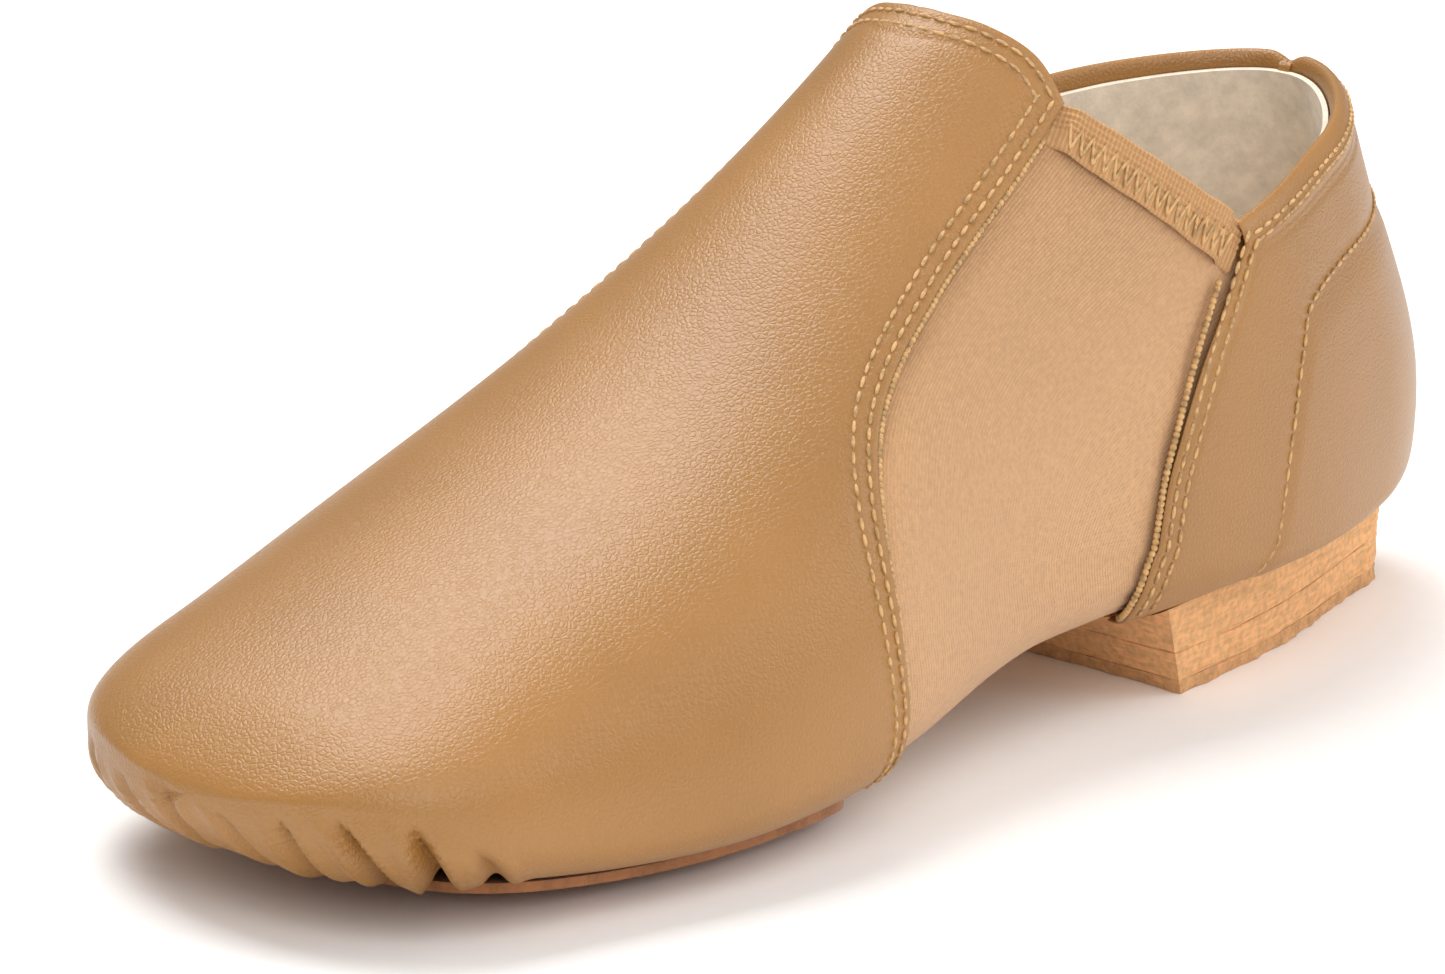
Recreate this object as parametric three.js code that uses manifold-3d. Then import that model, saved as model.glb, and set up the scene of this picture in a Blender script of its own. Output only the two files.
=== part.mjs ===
// Slip-on split-sole dance shoe for a left foot, in millimetres.
// +Z is up, the toe points along -Y and the little-toe side is +X.
// Every leather, fabric and board layer is an offset shell of one last: the foot form that the shoe is
// built on. A place on the last is (s, phi, side): s runs from the toe tip to the back of the heel, phi
// turns round a cross-section in degrees (-90 bottom middle, 0 widest, 90 top middle), and side is +1 for
// the little-toe half and -1 for the big-toe half.

import * as THREE from "three";
import { mergeVertices } from "three/addons/utils/BufferGeometryUtils.js";
import Module from "manifold-3d";

// ---------------------------------------------------------------- driving dimensions

const LENGTH = 245;                 // toe tip to the back of the heel
const TOE_REACH = 28;               // how far back the rounding of the toe reaches, in plan
const HEEL_REACH = 38.5;            // how far forward the rounding of the heel reaches, in plan
const TIP_Z = 18;                   // height of the toe tip
const TOE_TOP_REACH = 13.5;         // the same rounding of the toe's upper profile
const TOE_SOLE_REACH = 12;          // and of its lower profile
const LEAN_FROM = 150;              // s where the upper starts to lean towards the back curve
const LEAN_OVER = 60;               // length over which that lean comes in
const LEAN_ROOT = 60;               // s that the lean leaves in place

// The last's lines: [s, size] for the widths and heights, [z, s] for the back curve.
const HALF_WIDTH = [[0, 36], [30, 40], [60, 46], [90, 43.5], [120, 37], [150, 36.5], [185, 36], [245, 21]];
const CENTRE_X = [[0, 0], [60, 0.5], [120, 4.5], [180, 5], [245, 0]];
const TOP_Z = [[0, 23], [30, 37], [60, 49], [90, 66.5], [120, 90], [150, 113.5], [172, 130.5], [245, 124]];
const BOTTOM_Z = [
  [0, 9.3], [30, 4.3], [75, 1.9], [105, 2.7], [130, 9], [155, 11.8], [180, 15.6], [245, 14.8],
];
const WIDEST_Z = [[0, 21.5], [60, 15], [120, 30.3], [180, 22.3], [245, 29.8]];
const TAPER = [[0, 0], [60, 0], [120, 0.2], [180, 0.1], [245, 0.18]];
const BACK_S = [[14, 242], [35, 244.7], [60, 235], [92, 225]];
const BOTTOM_POWER = [[0, 2.8], [40, 3.1], [95, 3.1], [130, 2.7], [245, 2.7]];
const TOP_POWER = 2.4;              // squareness of the cross-section above its widest line
const ROUND_POWER = 2.2;            // and of the toe's and heel's rounding

// Seams, as [s, phi] points.
const VAMP_SIDE_EDGE = [
  [96, -90], [92, -60], [90.5, -30], [89.5, -5], [88, 10], [88, 22], [90, 32], [94.5, 40.5],
  [101.5, 45], [113, 47], [126, 48.5], [135, 50.2], [142, 52],
];
const TONGUE_EDGE = [[142, 52], [141.5, 60], [138.5, 71], [136.2, 81], [135.5, 90]];
const BAND_TOP = [[142, 52], [147, 44.8], [153.5, 37.6], [161, 31.6], [169.6, 26.8]];
const BAND_BOTTOM = [[138, 49.2], [143.2, 41.2], [150, 34], [157.3, 28], [164.2, 23.8]];
const QUARTER_FRONT = [
  [152, -62], [147, -45], [145, -30], [145.5, -10], [148, 4], [151.5, 11], [157, 18], [164.2, 23.8],
  [169.6, 26.8],
];
const ARCH_REAR = [
  [152, -90], [148, -50], [145, -30], [145.5, -10], [148, 4], [151.5, 11], [157, 18], [167.8, 26],
];
const COLLAR_Z = [[168, 71], [200, 76.5], [245, 80.5]];
const COUNTER_STITCH = [
  [170.5, -40], [171.2, -20], [172.5, -5], [174.8, 4], [178, 10], [182, 14.5], [188, 17.8], [209, 19.6],
  [245, 20.5],
];
const MARGIN_PHI = -62;             // how far the quarters and their linings turn under the heel
const SKIVE = 0.5;                  // slope of the vamp's cut edges, for each mm of depth
const MARGIN_OPENING_FRONT = 34;    // the opening left between the vamp's margins under the ball
const MARGIN_OPENING_REAR = 120;
const MARGIN_OPENING_X = 2;
const MARGIN_OPENING_RADIUS = 19;
const MARGIN_OPENING_HEIGHTS = [-4, 10];
const LINING_MARGIN = 11;           // bare leather between the vamp lining and the vamp's rear edge
const GORE_TUCK = 0.12;             // share of the gore's length that is tucked under each leather edge
const GORE_SAG = 12.8;              // how far the gore's lines dip at its top, in degrees for u(1 - u)
const BAND_SPAN = [0.015, 0.975];   // the bands' ends, as shares of their seams

// Layers, measured outwards from the last's outside surface: [outer face, inner face].
const LEATHER = [0, -1.2];
const VAMP_LINING = [-1.5, -2.1];
const GORE = [-2.1, -3.1];
const COUNTER = [-1.5, -3];
const TAPE = [-1.5, -2.2];
const QUARTER_LINING = [-3.4, -4.2];
const BAND_OUTER = [-0.2, -1.2];
const BAND_INNER = [-3.4, -4.4];
const GAP = 0.3;                    // clearance between pieces that touch

// Boards and pads under the foot, as heights above the last's bottom: [lower face, upper face].
const OUTSOLE_THICKNESS = 1.7;
const FILLER = [0.3, 2.1];
const FRONT_INSOLE = [2.5, 4];
const HEEL_FILLER = [0.3, 4.2];
const HEEL_INSOLE = [4.5, 6];
const HEEL_PAD = [6.3, 8.8];
const SOCK_FRONT = 4.2;             // underside of the sock at the ball
const SOCK_HEEL = 9.1;              // and over the heel pad
const SOCK_RISE = [100, 165];       // s where it rises from the one to the other
const SOCK_THICKNESS = 1.6;
const FILLER_HALF_WIDTH = 14;

// Their extents: [front s, back s, share of the last's half width].
const OUTSOLE_EXTENT = [20, 98, 0.77];
const FILLER_EXTENT = [38, 84];
const INSOLE_EXTENT = [16, 84, 0.66];
const HEEL_FILLER_EXTENT = [170, 226, 0.42];
const HEEL_INSOLE_EXTENT = [164, 232, 0.62];
const HEEL_PAD_EXTENT = [170, 229, 0.56];
const SOCK_EXTENT = [15, 231, 0.66];

// Heel block.
const HEEL_FRONT = 166;             // s of the breast at the ground
const HEEL_BACK = 238;
const HEEL_SIDE = [[166, 25.5], [190, 23.3], [212, 19], [224, 16.2]];
const HEEL_RAKE = 5.4;              // the breast leans forward by this over HEEL_RAKE_HEIGHT
const HEEL_RAKE_HEIGHT = 12.4;
const HEEL_FLARE = 2;               // and the sides lean out by this
const LIFT_JOINTS = [2.2, 7];       // heights of the joints between the top piece and the lifts
const HEEL_TALLEST = 24;
const NAIL_RADIUS = 0.9;
const NAIL_HEAD_RADIUS = 2;
const NAIL_HEAD = 0.8;
const NAIL_TIP_Z = 3.4;
const NAIL_PLACES = [[176, -11], [176, 11], [200, -9], [200, 9], [214, 0]];   // [s, x from the centre line]

// Threads and cords.
const THREAD_RADIUS = 0.35;
const THREAD_HEIGHT = 0.75;         // centre of a thread above the leather
const CORD_RADIUS = 0.4;
const CORD_HEIGHT = -1;             // centre of an edge cord, on the gore beside the leather's edge
const CORD_OUT = 1;
const STITCH_ROWS = [1.6, 3.8];     // distances of the two stitch rows from a leather edge
const COLLAR_ROWS = [2.6, 3.8];
const VAMP_THREAD_SIDE = [0.26, 0.99];       // part of the vamp's side edge that its threads follow
const VAMP_THREAD_TONGUE = [0.06, 1];        // and of the tongue's edge
const VAMP_THREAD_CORNER = 0.78;             // share of a thread's half that lies on the side edge
const QUARTER_THREAD_SPAN = [0.26, 0.95];
const VAMP_CORD_SPAN = [0.3, 0.93];
const QUARTER_CORD_SPAN = [0.26, 0.86];
const COUNTER_THREAD_SPAN = [0.02, 1];
const COLLAR_THREAD_FROM = 172;
const ZIGZAG_COUNT = 16;
const ZIGZAG_SPAN = [0.08, 0.92];            // along the band
const ZIGZAG_RISE = [0.1, 0.62];             // and across it, from its lower edge

const SLIVER = 0.03;                // the widest sliver that is closed up after a cut
const DEGREE = Math.PI / 180;

// ---------------------------------------------------------------- curves and the last

function naturalSpline(points) {
  const n = points.length;
  const x = points.map((p) => p[0]);
  const y = points.map((p) => p[1]);
  const bend = new Array(n).fill(0);
  const work = new Array(n).fill(0);
  for (let i = 1; i < n - 1; i += 1) {
    const ratio = (x[i] - x[i - 1]) / (x[i + 1] - x[i - 1]);
    const pivot = ratio * bend[i - 1] + 2;
    const change = (y[i + 1] - y[i]) / (x[i + 1] - x[i]) - (y[i] - y[i - 1]) / (x[i] - x[i - 1]);
    bend[i] = (ratio - 1) / pivot;
    work[i] = ((6 * change) / (x[i + 1] - x[i - 1]) - ratio * work[i - 1]) / pivot;
  }
  for (let i = n - 2; i > 0; i -= 1) {
    bend[i] = bend[i] * bend[i + 1] + work[i];
  }
  bend[0] = 0;
  return (at) => {
    const t = Math.min(Math.max(at, x[0]), x[n - 1]);
    let k = 0;
    while (k < n - 2 && t > x[k + 1]) {
      k += 1;
    }
    const h = x[k + 1] - x[k];
    const a = (x[k + 1] - t) / h;
    const b = (t - x[k]) / h;
    const curve = ((a ** 3 - a) * bend[k] + (b ** 3 - b) * bend[k + 1]) * (h * h / 6);
    return a * y[k] + b * y[k + 1] + curve;
  };
}

function straight(points) {
  return (at) => {
    let k = 0;
    while (k < points.length - 2 && at > points[k + 1][0]) {
      k += 1;
    }
    const share = (at - points[k][0]) / (points[k + 1][0] - points[k][0]);
    return THREE.MathUtils.lerp(points[k][1], points[k + 1][1], share);
  };
}

// A quarter of a superellipse: 0 at the tip, 1 once the distance from it passes reach.
function rounding(distance, reach, power) {
  const left = Math.max(0, 1 - distance / reach);
  return Math.pow(1 - Math.pow(left, power), 1 / power);
}

const halfWidthLine = naturalSpline(HALF_WIDTH);
const centreX = naturalSpline(CENTRE_X);
const topLine = naturalSpline(TOP_Z);
const bottomLine = naturalSpline(BOTTOM_Z);
const widestLine = naturalSpline(WIDEST_Z);
const taperLine = naturalSpline(TAPER);
const backCurve = naturalSpline(BACK_S);
const bottomPower = straight(BOTTOM_POWER);
const collarZ = naturalSpline(COLLAR_Z);

// The heights and half width of the last's cross-section at s.
function section(s) {
  const toeTop = rounding(s, TOE_TOP_REACH, ROUND_POWER);
  const toeSole = rounding(s, TOE_SOLE_REACH, 2);
  const top = TIP_Z + (topLine(s) - TIP_Z) * toeTop;
  const bottom = TIP_Z + (bottomLine(s) - TIP_Z) * toeSole;
  const widest = THREE.MathUtils.clamp(TIP_Z + (widestLine(s) - TIP_Z) * toeTop, bottom, top);
  const ends = rounding(s, TOE_REACH, ROUND_POWER) * rounding(LENGTH - s, HEEL_REACH, ROUND_POWER);
  return { top, bottom, widest, width: halfWidthLine(s) * ends };
}

// The upper leans: each height z is drawn towards its own place on the back curve.
function lean(s, z) {
  const stretch = (backCurve(THREE.MathUtils.clamp(z, 0, 110)) - LEAN_ROOT) / (LENGTH - LEAN_ROOT) - 1;
  const blend = THREE.MathUtils.smoothstep(s, LEAN_FROM, LEAN_FROM + LEAN_OVER);
  return s > LEAN_ROOT ? LEAN_ROOT + (s - LEAN_ROOT) * (1 + stretch * blend) : s;
}

function lastPoint(s, phi, side) {
  const part = section(s);
  const rise = Math.sin(phi * DEGREE);
  const a = Math.min(1, Math.abs(rise));
  let z = part.widest + (part.widest - part.bottom) * rise;
  let x = part.width * Math.pow(1 - Math.pow(a, bottomPower(s)), 1 / bottomPower(s));
  if (rise > 0) {
    z = part.widest + (part.top - part.widest) * rise;
    x = part.width * Math.sqrt(1 - Math.pow(a, TOP_POWER)) * (1 - taperLine(s) * Math.pow(a, TOP_POWER));
  }
  return new THREE.Vector3(side * x + centreX(s), lean(s, z) - LENGTH / 2, z);
}

// Tangents along s and along phi, by small steps kept inside the surface.
function lastTangents(s, phi, side) {
  const stepS = 0.05;
  const stepPhi = 0.2;
  const s0 = THREE.MathUtils.clamp(s - stepS, 0.01, LENGTH - 0.02);
  const s1 = THREE.MathUtils.clamp(s + stepS, 0.02, LENGTH - 0.01);
  const p0 = Math.max(phi - stepPhi, -89.9);
  const p1 = Math.min(phi + stepPhi, 89.9);
  const at = THREE.MathUtils.clamp(s, 0.01, LENGTH - 0.01);
  const along = lastPoint(s1, phi, side).sub(lastPoint(s0, phi, side));
  const round = lastPoint(at, p1, side).sub(lastPoint(at, p0, side));
  return { along: along.divideScalar(s1 - s0), round: round.divideScalar(p1 - p0) };
}

function lastNormal(s, phi, side) {
  if (s < 0.05) {
    return new THREE.Vector3(0, -1, 0);
  }
  const inset = THREE.MathUtils.clamp(phi, -88.5, 88.5);
  const { along, round } = lastTangents(s, inset, side);
  const normal = along.cross(round).multiplyScalar(side).normalize();
  if (Math.abs(phi) > 89.9) {
    normal.x = 0;
  }
  if (s > LENGTH - 0.05) {
    normal.x = 0;
  }
  return normal.normalize();
}

// A point on the last, moved outwards by offset.
function onLast(s, phi, side, offset) {
  return lastPoint(s, phi, side).addScaledVector(lastNormal(s, phi, side), offset);
}

// Height of the last's bottom at x and s.
function bottomAt(x, s) {
  const part = section(s);
  const share = Math.min(1, Math.abs(x - centreX(s)) / part.width);
  const power = bottomPower(s);
  return part.widest - (part.widest - part.bottom) * Math.pow(1 - Math.pow(share, power), 1 / power);
}

function collarPhi(s) {
  const part = section(s);
  const rise = (collarZ(s) - part.widest) / (part.top - part.widest);
  return Math.asin(THREE.MathUtils.clamp(rise, -1, 1)) / DEGREE;
}

// A smooth seam through [s, phi] points, evenly spaced along its length. PHI_MM makes the two axes alike.
const PHI_MM = 0.7;

function seam(points) {
  const curve = new THREE.SplineCurve(points.map(([s, phi]) => new THREE.Vector2(s, phi * PHI_MM)));
  return (share) => {
    const p = curve.getPointAt(THREE.MathUtils.clamp(share, 0, 1));
    return { s: p.x, phi: p.y / PHI_MM };
  };
}

const vampSideEdge = seam(VAMP_SIDE_EDGE);
const tongueEdge = seam(TONGUE_EDGE);
const bandTop = seam(BAND_TOP);
const bandBottom = seam(BAND_BOTTOM);
const quarterFront = seam(QUARTER_FRONT);
const archRear = seam(ARCH_REAR);
const counterStitch = seam(COUNTER_STITCH);

// ---------------------------------------------------------------- solids

// A closed solid from corner points and triangles, with its faces turned outwards.
function solid(points, triangles) {
  const raw = new THREE.BufferGeometry();
  raw.setAttribute("position", new THREE.Float32BufferAttribute(points.flatMap((p) => [p.x, p.y, p.z]), 3));
  raw.setIndex(triangles.flat());
  const merged = mergeVertices(raw, 1e-4);
  const index = merged.getIndex().array;
  const kept = [];
  for (let i = 0; i < index.length; i += 3) {
    const [a, b, c] = [index[i], index[i + 1], index[i + 2]];
    if (a !== b && b !== c && a !== c) {
      kept.push([a, b, c]);
    }
  }
  const outwards = signedVolume(merged, kept) > 0;
  merged.setIndex(kept.flatMap(([a, b, c]) => (outwards ? [a, b, c] : [a, c, b])));
  merged.computeVertexNormals();
  return merged;
}

function signedVolume(geometry, triangles) {
  const at = geometry.getAttribute("position");
  const corner = (i) => new THREE.Vector3().fromBufferAttribute(at, i);
  return triangles.reduce((sum, [a, b, c]) => sum + corner(a).dot(corner(b).cross(corner(c))), 0);
}

// A sheet with thickness. place(row, column, offset) gives a point; ring closes the columns on themselves.
function shell(rows, columns, place, [outer, inner], ring = false) {
  const points = [];
  for (const offset of [outer, inner]) {
    for (let i = 0; i <= rows; i += 1) {
      for (let j = 0; j <= columns; j += 1) {
        points.push(place(i, ring ? j % columns : j, offset));
      }
    }
  }
  const width = columns + 1;
  const layer = width * (rows + 1);
  const triangles = [];
  const quad = (a, b, c, d) => triangles.push([a, b, c], [a, c, d]);
  for (let i = 0; i < rows; i += 1) {
    for (let j = 0; j < columns; j += 1) {
      const a = i * width + j;
      quad(a, a + 1, a + width + 1, a + width);
      quad(layer + a, layer + a + width, layer + a + width + 1, layer + a + 1);
    }
  }
  for (let j = 0; j < columns; j += 1) {
    const last = rows * width + j;
    quad(j, layer + j, layer + j + 1, j + 1);
    quad(last, last + 1, layer + last + 1, layer + last);
  }
  for (let i = 0; i < rows && !ring; i += 1) {
    const a = i * width;
    const b = a + columns;
    quad(a, a + width, layer + a + width, layer + a);
    quad(b, layer + b, layer + b + width, b + width);
  }
  return solid(points, triangles);
}

// A solid through a row of closed loops; flat gives the loop's shape in 2-D for its end caps.
function loft(loops, flat) {
  const size = flat.length;
  const triangles = [];
  for (let i = 0; i + 1 < loops.length; i += 1) {
    for (let j = 0; j < size; j += 1) {
      const a = i * size + j;
      const b = i * size + ((j + 1) % size);
      triangles.push([a, b, b + size], [a, b + size, a + size]);
    }
  }
  const end = (loops.length - 1) * size;
  for (const [a, b, c] of THREE.ShapeUtils.triangulateShape(flat, [])) {
    triangles.push([a, c, b], [end + a, end + b, end + c]);
  }
  return solid(loops.flat(), triangles);
}

// A board that follows the last's bottom between s = from and to, rounded at both ends.
function board(from, to, halfWidth, lower, upper, rows = 14, columns = 6) {
  const place = (i, j, face) => {
    const turn = (i / rows) * Math.PI;
    const s = (from + to) / 2 - ((to - from) / 2) * Math.cos(turn);
    const end = rounding(Math.min(s - from, to - s) + 0.4, 16, 2);
    const x = centreX(s) + halfWidth(s) * end * ((2 * j) / columns - 1);
    return new THREE.Vector3(x, s - LENGTH / 2, face > 0 ? upper(x, s) : lower(x, s));
  };
  return shell(rows, columns, place, [1, -1]);
}

function layerHeight(height) {
  return (x, s) => bottomAt(x, s) + height;
}

function tube(points, radius, steps, sides = 4) {
  const ring = new THREE.Shape();
  for (let i = 0; i < sides; i += 1) {
    const angle = ((i + 0.5) / sides) * 2 * Math.PI;
    const corner = [radius * Math.cos(angle), radius * Math.sin(angle)];
    if (i === 0) {
      ring.moveTo(...corner);
    } else {
      ring.lineTo(...corner);
    }
  }
  const extrudePath = new THREE.CatmullRomCurve3(points, false, "centripetal");
  const geometry = new THREE.ExtrudeGeometry(ring, { steps, extrudePath, bevelEnabled: false });
  geometry.deleteAttribute("normal");
  geometry.deleteAttribute("uv");
  return mergeVertices(geometry, 1e-4);
}

// ---------------------------------------------------------------- cutting

const wasm = await Module();
wasm.setup();

function toManifold(geometry) {
  const bare = geometry.clone();
  bare.deleteAttribute("normal");
  bare.deleteAttribute("uv");
  const merged = mergeVertices(bare, 1e-4);
  return new wasm.Manifold(new wasm.Mesh({
    numProp: 3,
    vertProperties: new Float32Array(merged.getAttribute("position").array),
    triVerts: new Uint32Array(merged.getIndex().array),
  }));
}

function fromManifold(manifold) {
  const mesh = manifold.getMesh();
  const geometry = new THREE.BufferGeometry();
  geometry.setAttribute("position", new THREE.BufferAttribute(mesh.vertProperties, 3));
  geometry.setIndex(new THREE.BufferAttribute(mesh.triVerts, 1));
  geometry.computeVertexNormals();
  return geometry;
}

function cut(geometry, ...cutters) {
  const left = cutters.reduce((body, cutter) => body.subtract(toManifold(cutter)), toManifold(geometry));
  return fromManifold(left.simplify(SLIVER));
}

// ---------------------------------------------------------------- vamp

const SIDE_COLUMNS = 12;            // columns from the bottom middle up to the tongue's corner
const TONGUE_COLUMNS = 5;           // and from the corner to the top middle
const HALF_RING = SIDE_COLUMNS + TONGUE_COLUMNS;
const VAMP_ROWS = 15;

function vampEdge(column) {
  if (column <= SIDE_COLUMNS) {
    return vampSideEdge(column / SIDE_COLUMNS);
  }
  return tongueEdge((column - SIDE_COLUMNS) / TONGUE_COLUMNS);
}

// A line in front of the vamp's edge by margin, at each column.
// It climbs too, by a degree for each mm, where the edge runs along the foot.
function vampInside(margin) {
  const places = [];
  for (let column = 0; column <= HALF_RING; column += 1) {
    const { s, phi } = vampEdge(column);
    const climb = margin * Math.sin(2 * DEGREE * Math.max(0, phi));
    places.push({ s: s - margin, phi: phi + climb });
  }
  return places;
}

// The vamp's last three rows: where the lining stops, half way to the edge, and the edge.
// The cut edges are skived, so they lie farther forward with depth.
const vampBorders = new Map();
function vampBorder(offset) {
  if (!vampBorders.has(offset)) {
    const margins = [LINING_MARGIN, LINING_MARGIN / 2, 0];
    vampBorders.set(offset, margins.map((margin) => vampInside(margin - SKIVE * offset)));
  }
  return vampBorders.get(offset);
}

const LINING_ROWS = VAMP_ROWS - 2;

// The vamp's columns run from the toe tip to the lining's edge, each at one turn, and on to the rear edge.
function vampPlace(i, j, offset) {
  const side = j <= HALF_RING ? 1 : -1;
  const column = j <= HALF_RING ? j : 2 * HALF_RING - j;
  const target = vampBorder(offset)[Math.max(0, i - LINING_ROWS)][column];
  const share = Math.pow(Math.min(1, i / LINING_ROWS), 1.6);
  return onLast(target.s * share, target.phi, side, offset);
}

// The vamp's leather is turned under the foot, and its margins leave this opening between them.
function marginOpening() {
  const outline = new THREE.Shape();
  const front = MARGIN_OPENING_FRONT - LENGTH / 2;
  const rear = MARGIN_OPENING_REAR - LENGTH / 2;
  const [low, high] = MARGIN_OPENING_HEIGHTS;
  outline.moveTo(MARGIN_OPENING_X + MARGIN_OPENING_RADIUS, rear);
  outline.lineTo(MARGIN_OPENING_X - MARGIN_OPENING_RADIUS, rear);
  const middle = front + MARGIN_OPENING_RADIUS;
  outline.absarc(MARGIN_OPENING_X, middle, MARGIN_OPENING_RADIUS, Math.PI, 2 * Math.PI);
  const depth = high - low;
  const cutter = new THREE.ExtrudeGeometry(outline, { depth, bevelEnabled: false, curveSegments: 10 });
  return cutter.translate(0, 0, low);
}

function vamp() {
  return cut(shell(VAMP_ROWS, 2 * HALF_RING, vampPlace, LEATHER, true), marginOpening());
}

function vampLining() {
  return cut(shell(LINING_ROWS, 2 * HALF_RING, vampPlace, VAMP_LINING, true), marginOpening());
}

// ---------------------------------------------------------------- arch gore and its elastic bands

const GORE_ROWS = 10;
const GORE_SIDE = 12;
const VAMP_SHARE_AT_BAND = 0.965;   // where the gore's top meets the vamp's edge, as a share of that edge

// v runs from the bottom middle (0) up to the band (1); u from the vamp (0) to the quarter (1).
function gorePlace(i, j, offset) {
  const v = Math.abs(j - GORE_SIDE) / GORE_SIDE;
  const side = j >= GORE_SIDE ? 1 : -1;
  const u = -GORE_TUCK + ((1 + 2 * GORE_TUCK) * i) / GORE_ROWS;
  const front = vampSideEdge(v * VAMP_SHARE_AT_BAND);
  const rear = archRear(v);
  const sag = GORE_SAG * Math.max(0, u * (1 - u)) * v * v;
  const s = THREE.MathUtils.lerp(front.s, rear.s, u);
  const phi = THREE.MathUtils.lerp(front.phi, rear.phi, u) - sag;
  return onLast(s, Math.max(phi, -90), side, offset);
}

function archGore() {
  return shell(GORE_ROWS, 2 * GORE_SIDE, gorePlace, GORE);
}

// An elastic binding folded over the gore's top edge, as a U in section.
function band(side) {
  const stations = 9;
  const flat = [[0, 0], [1, 0], [1, 4], [0, 4], [0, 3], [0.86, 3], [0.86, 1], [0, 1]];
  const offsets = [BAND_OUTER[0], BAND_OUTER[0], BAND_INNER[1], BAND_INNER[1],
    BAND_INNER[0], BAND_INNER[0], BAND_OUTER[1], BAND_OUTER[1]];
  const loops = [];
  for (let i = 0; i <= stations; i += 1) {
    const along = THREE.MathUtils.lerp(...BAND_SPAN, i / stations);
    const top = bandTop(along);
    const low = bandBottom(along);
    loops.push(flat.map(([rise], k) => {
      const s = THREE.MathUtils.lerp(low.s, top.s, rise);
      const phi = THREE.MathUtils.lerp(low.phi, top.phi, rise);
      return onLast(s, phi, side, offsets[k]);
    }));
  }
  return loft(loops, flat.map(([a, b]) => new THREE.Vector2(a, b)));
}

// ---------------------------------------------------------------- quarters

const QUARTER_COLUMNS = 10;         // from the front edge to the back seam
const QUARTER_ROWS = 12;            // from the margin under the heel up to the collar

function quarterSpot(column, row) {
  const front = quarterFront(row / QUARTER_ROWS);
  const turn = (column / QUARTER_COLUMNS) ** 1.25 * (Math.PI / 2);
  const s = front.s + (LENGTH - front.s) * Math.sin(turn);
  const rise = (front.phi - MARGIN_PHI) / (collarPhi(front.s) - MARGIN_PHI);
  return { s, phi: MARGIN_PHI + (collarPhi(s) - MARGIN_PHI) * Math.min(1, rise) };
}

function quarter(side) {
  const place = (i, j, offset) => {
    const { s, phi } = quarterSpot(i, j);
    const point = onLast(s, phi, side, offset);
    const clear = centreX(LENGTH) + side * GAP / 2;
    point.x = side > 0 ? Math.max(point.x, clear) : Math.min(point.x, clear);
    return point;
  };
  return shell(QUARTER_COLUMNS, QUARTER_ROWS, place, LEATHER);
}

// A layer that wraps round the back from one side to the other, on the quarters' own grid.
function wrap(fromColumn, rows, fromRow, layer) {
  const half = QUARTER_COLUMNS - fromColumn;
  const place = (i, j, offset) => {
    const side = i <= half ? 1 : -1;
    const { s, phi } = quarterSpot(QUARTER_COLUMNS - Math.abs(i - half), fromRow + j);
    return onLast(s, phi, side, offset);
  };
  return shell(2 * half, rows, place, layer);
}

function quarterLining() {
  return wrap(1, QUARTER_ROWS, 0, QUARTER_LINING);
}

function heelCounter() {
  return wrap(4, QUARTER_ROWS - 3, 0, COUNTER);
}

function backSeamTape() {
  return wrap(QUARTER_COLUMNS - 1, 1, QUARTER_ROWS - 2, TAPE);
}

function toplineTape(side) {
  const first = 3;
  const last = QUARTER_COLUMNS - 2;
  const place = (i, j, offset) => {
    const { s, phi } = quarterSpot(first + i, QUARTER_ROWS - 1 + j);
    return onLast(s, phi, side, offset);
  };
  return shell(last - first, 1, place, TAPE);
}

// ---------------------------------------------------------------- boards and soles under the foot

function outsoleFront() {
  const top = (x, s) => bottomAt(x, s) - GAP;
  const underside = (x, s) => Math.max(0, bottomAt(x, s) - GAP - OUTSOLE_THICKNESS);
  const [from, to, share] = OUTSOLE_EXTENT;
  return board(from, to, (s) => share * section(s).width, underside, top, 16, 8);
}

function bottomFiller() {
  const [from, to] = FILLER_EXTENT;
  return board(from, to, () => FILLER_HALF_WIDTH, layerHeight(FILLER[0]), layerHeight(FILLER[1]), 8, 4);
}

function insoleFront() {
  const [from, to, share] = INSOLE_EXTENT;
  const half = (s) => share * section(s).width;
  return board(from, to, half, layerHeight(FRONT_INSOLE[0]), layerHeight(FRONT_INSOLE[1]));
}

function heelBoard([from, to, share], [lower, upper]) {
  return board(from, to, (s) => share * section(s).width, layerHeight(lower), layerHeight(upper), 12, 6);
}

function sockLiner() {
  const [from, to, share] = SOCK_EXTENT;
  const rise = (s) => THREE.MathUtils.smoothstep(s, ...SOCK_RISE);
  const under = (s) => THREE.MathUtils.lerp(SOCK_FRONT, SOCK_HEEL, rise(s));
  const lower = (x, s) => bottomAt(x, s) + under(s);
  const upper = (x, s) => lower(x, s) + SOCK_THICKNESS;
  return board(from, to, (s) => share * section(s).width, lower, upper, 20, 6);
}

// ---------------------------------------------------------------- heel block

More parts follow.
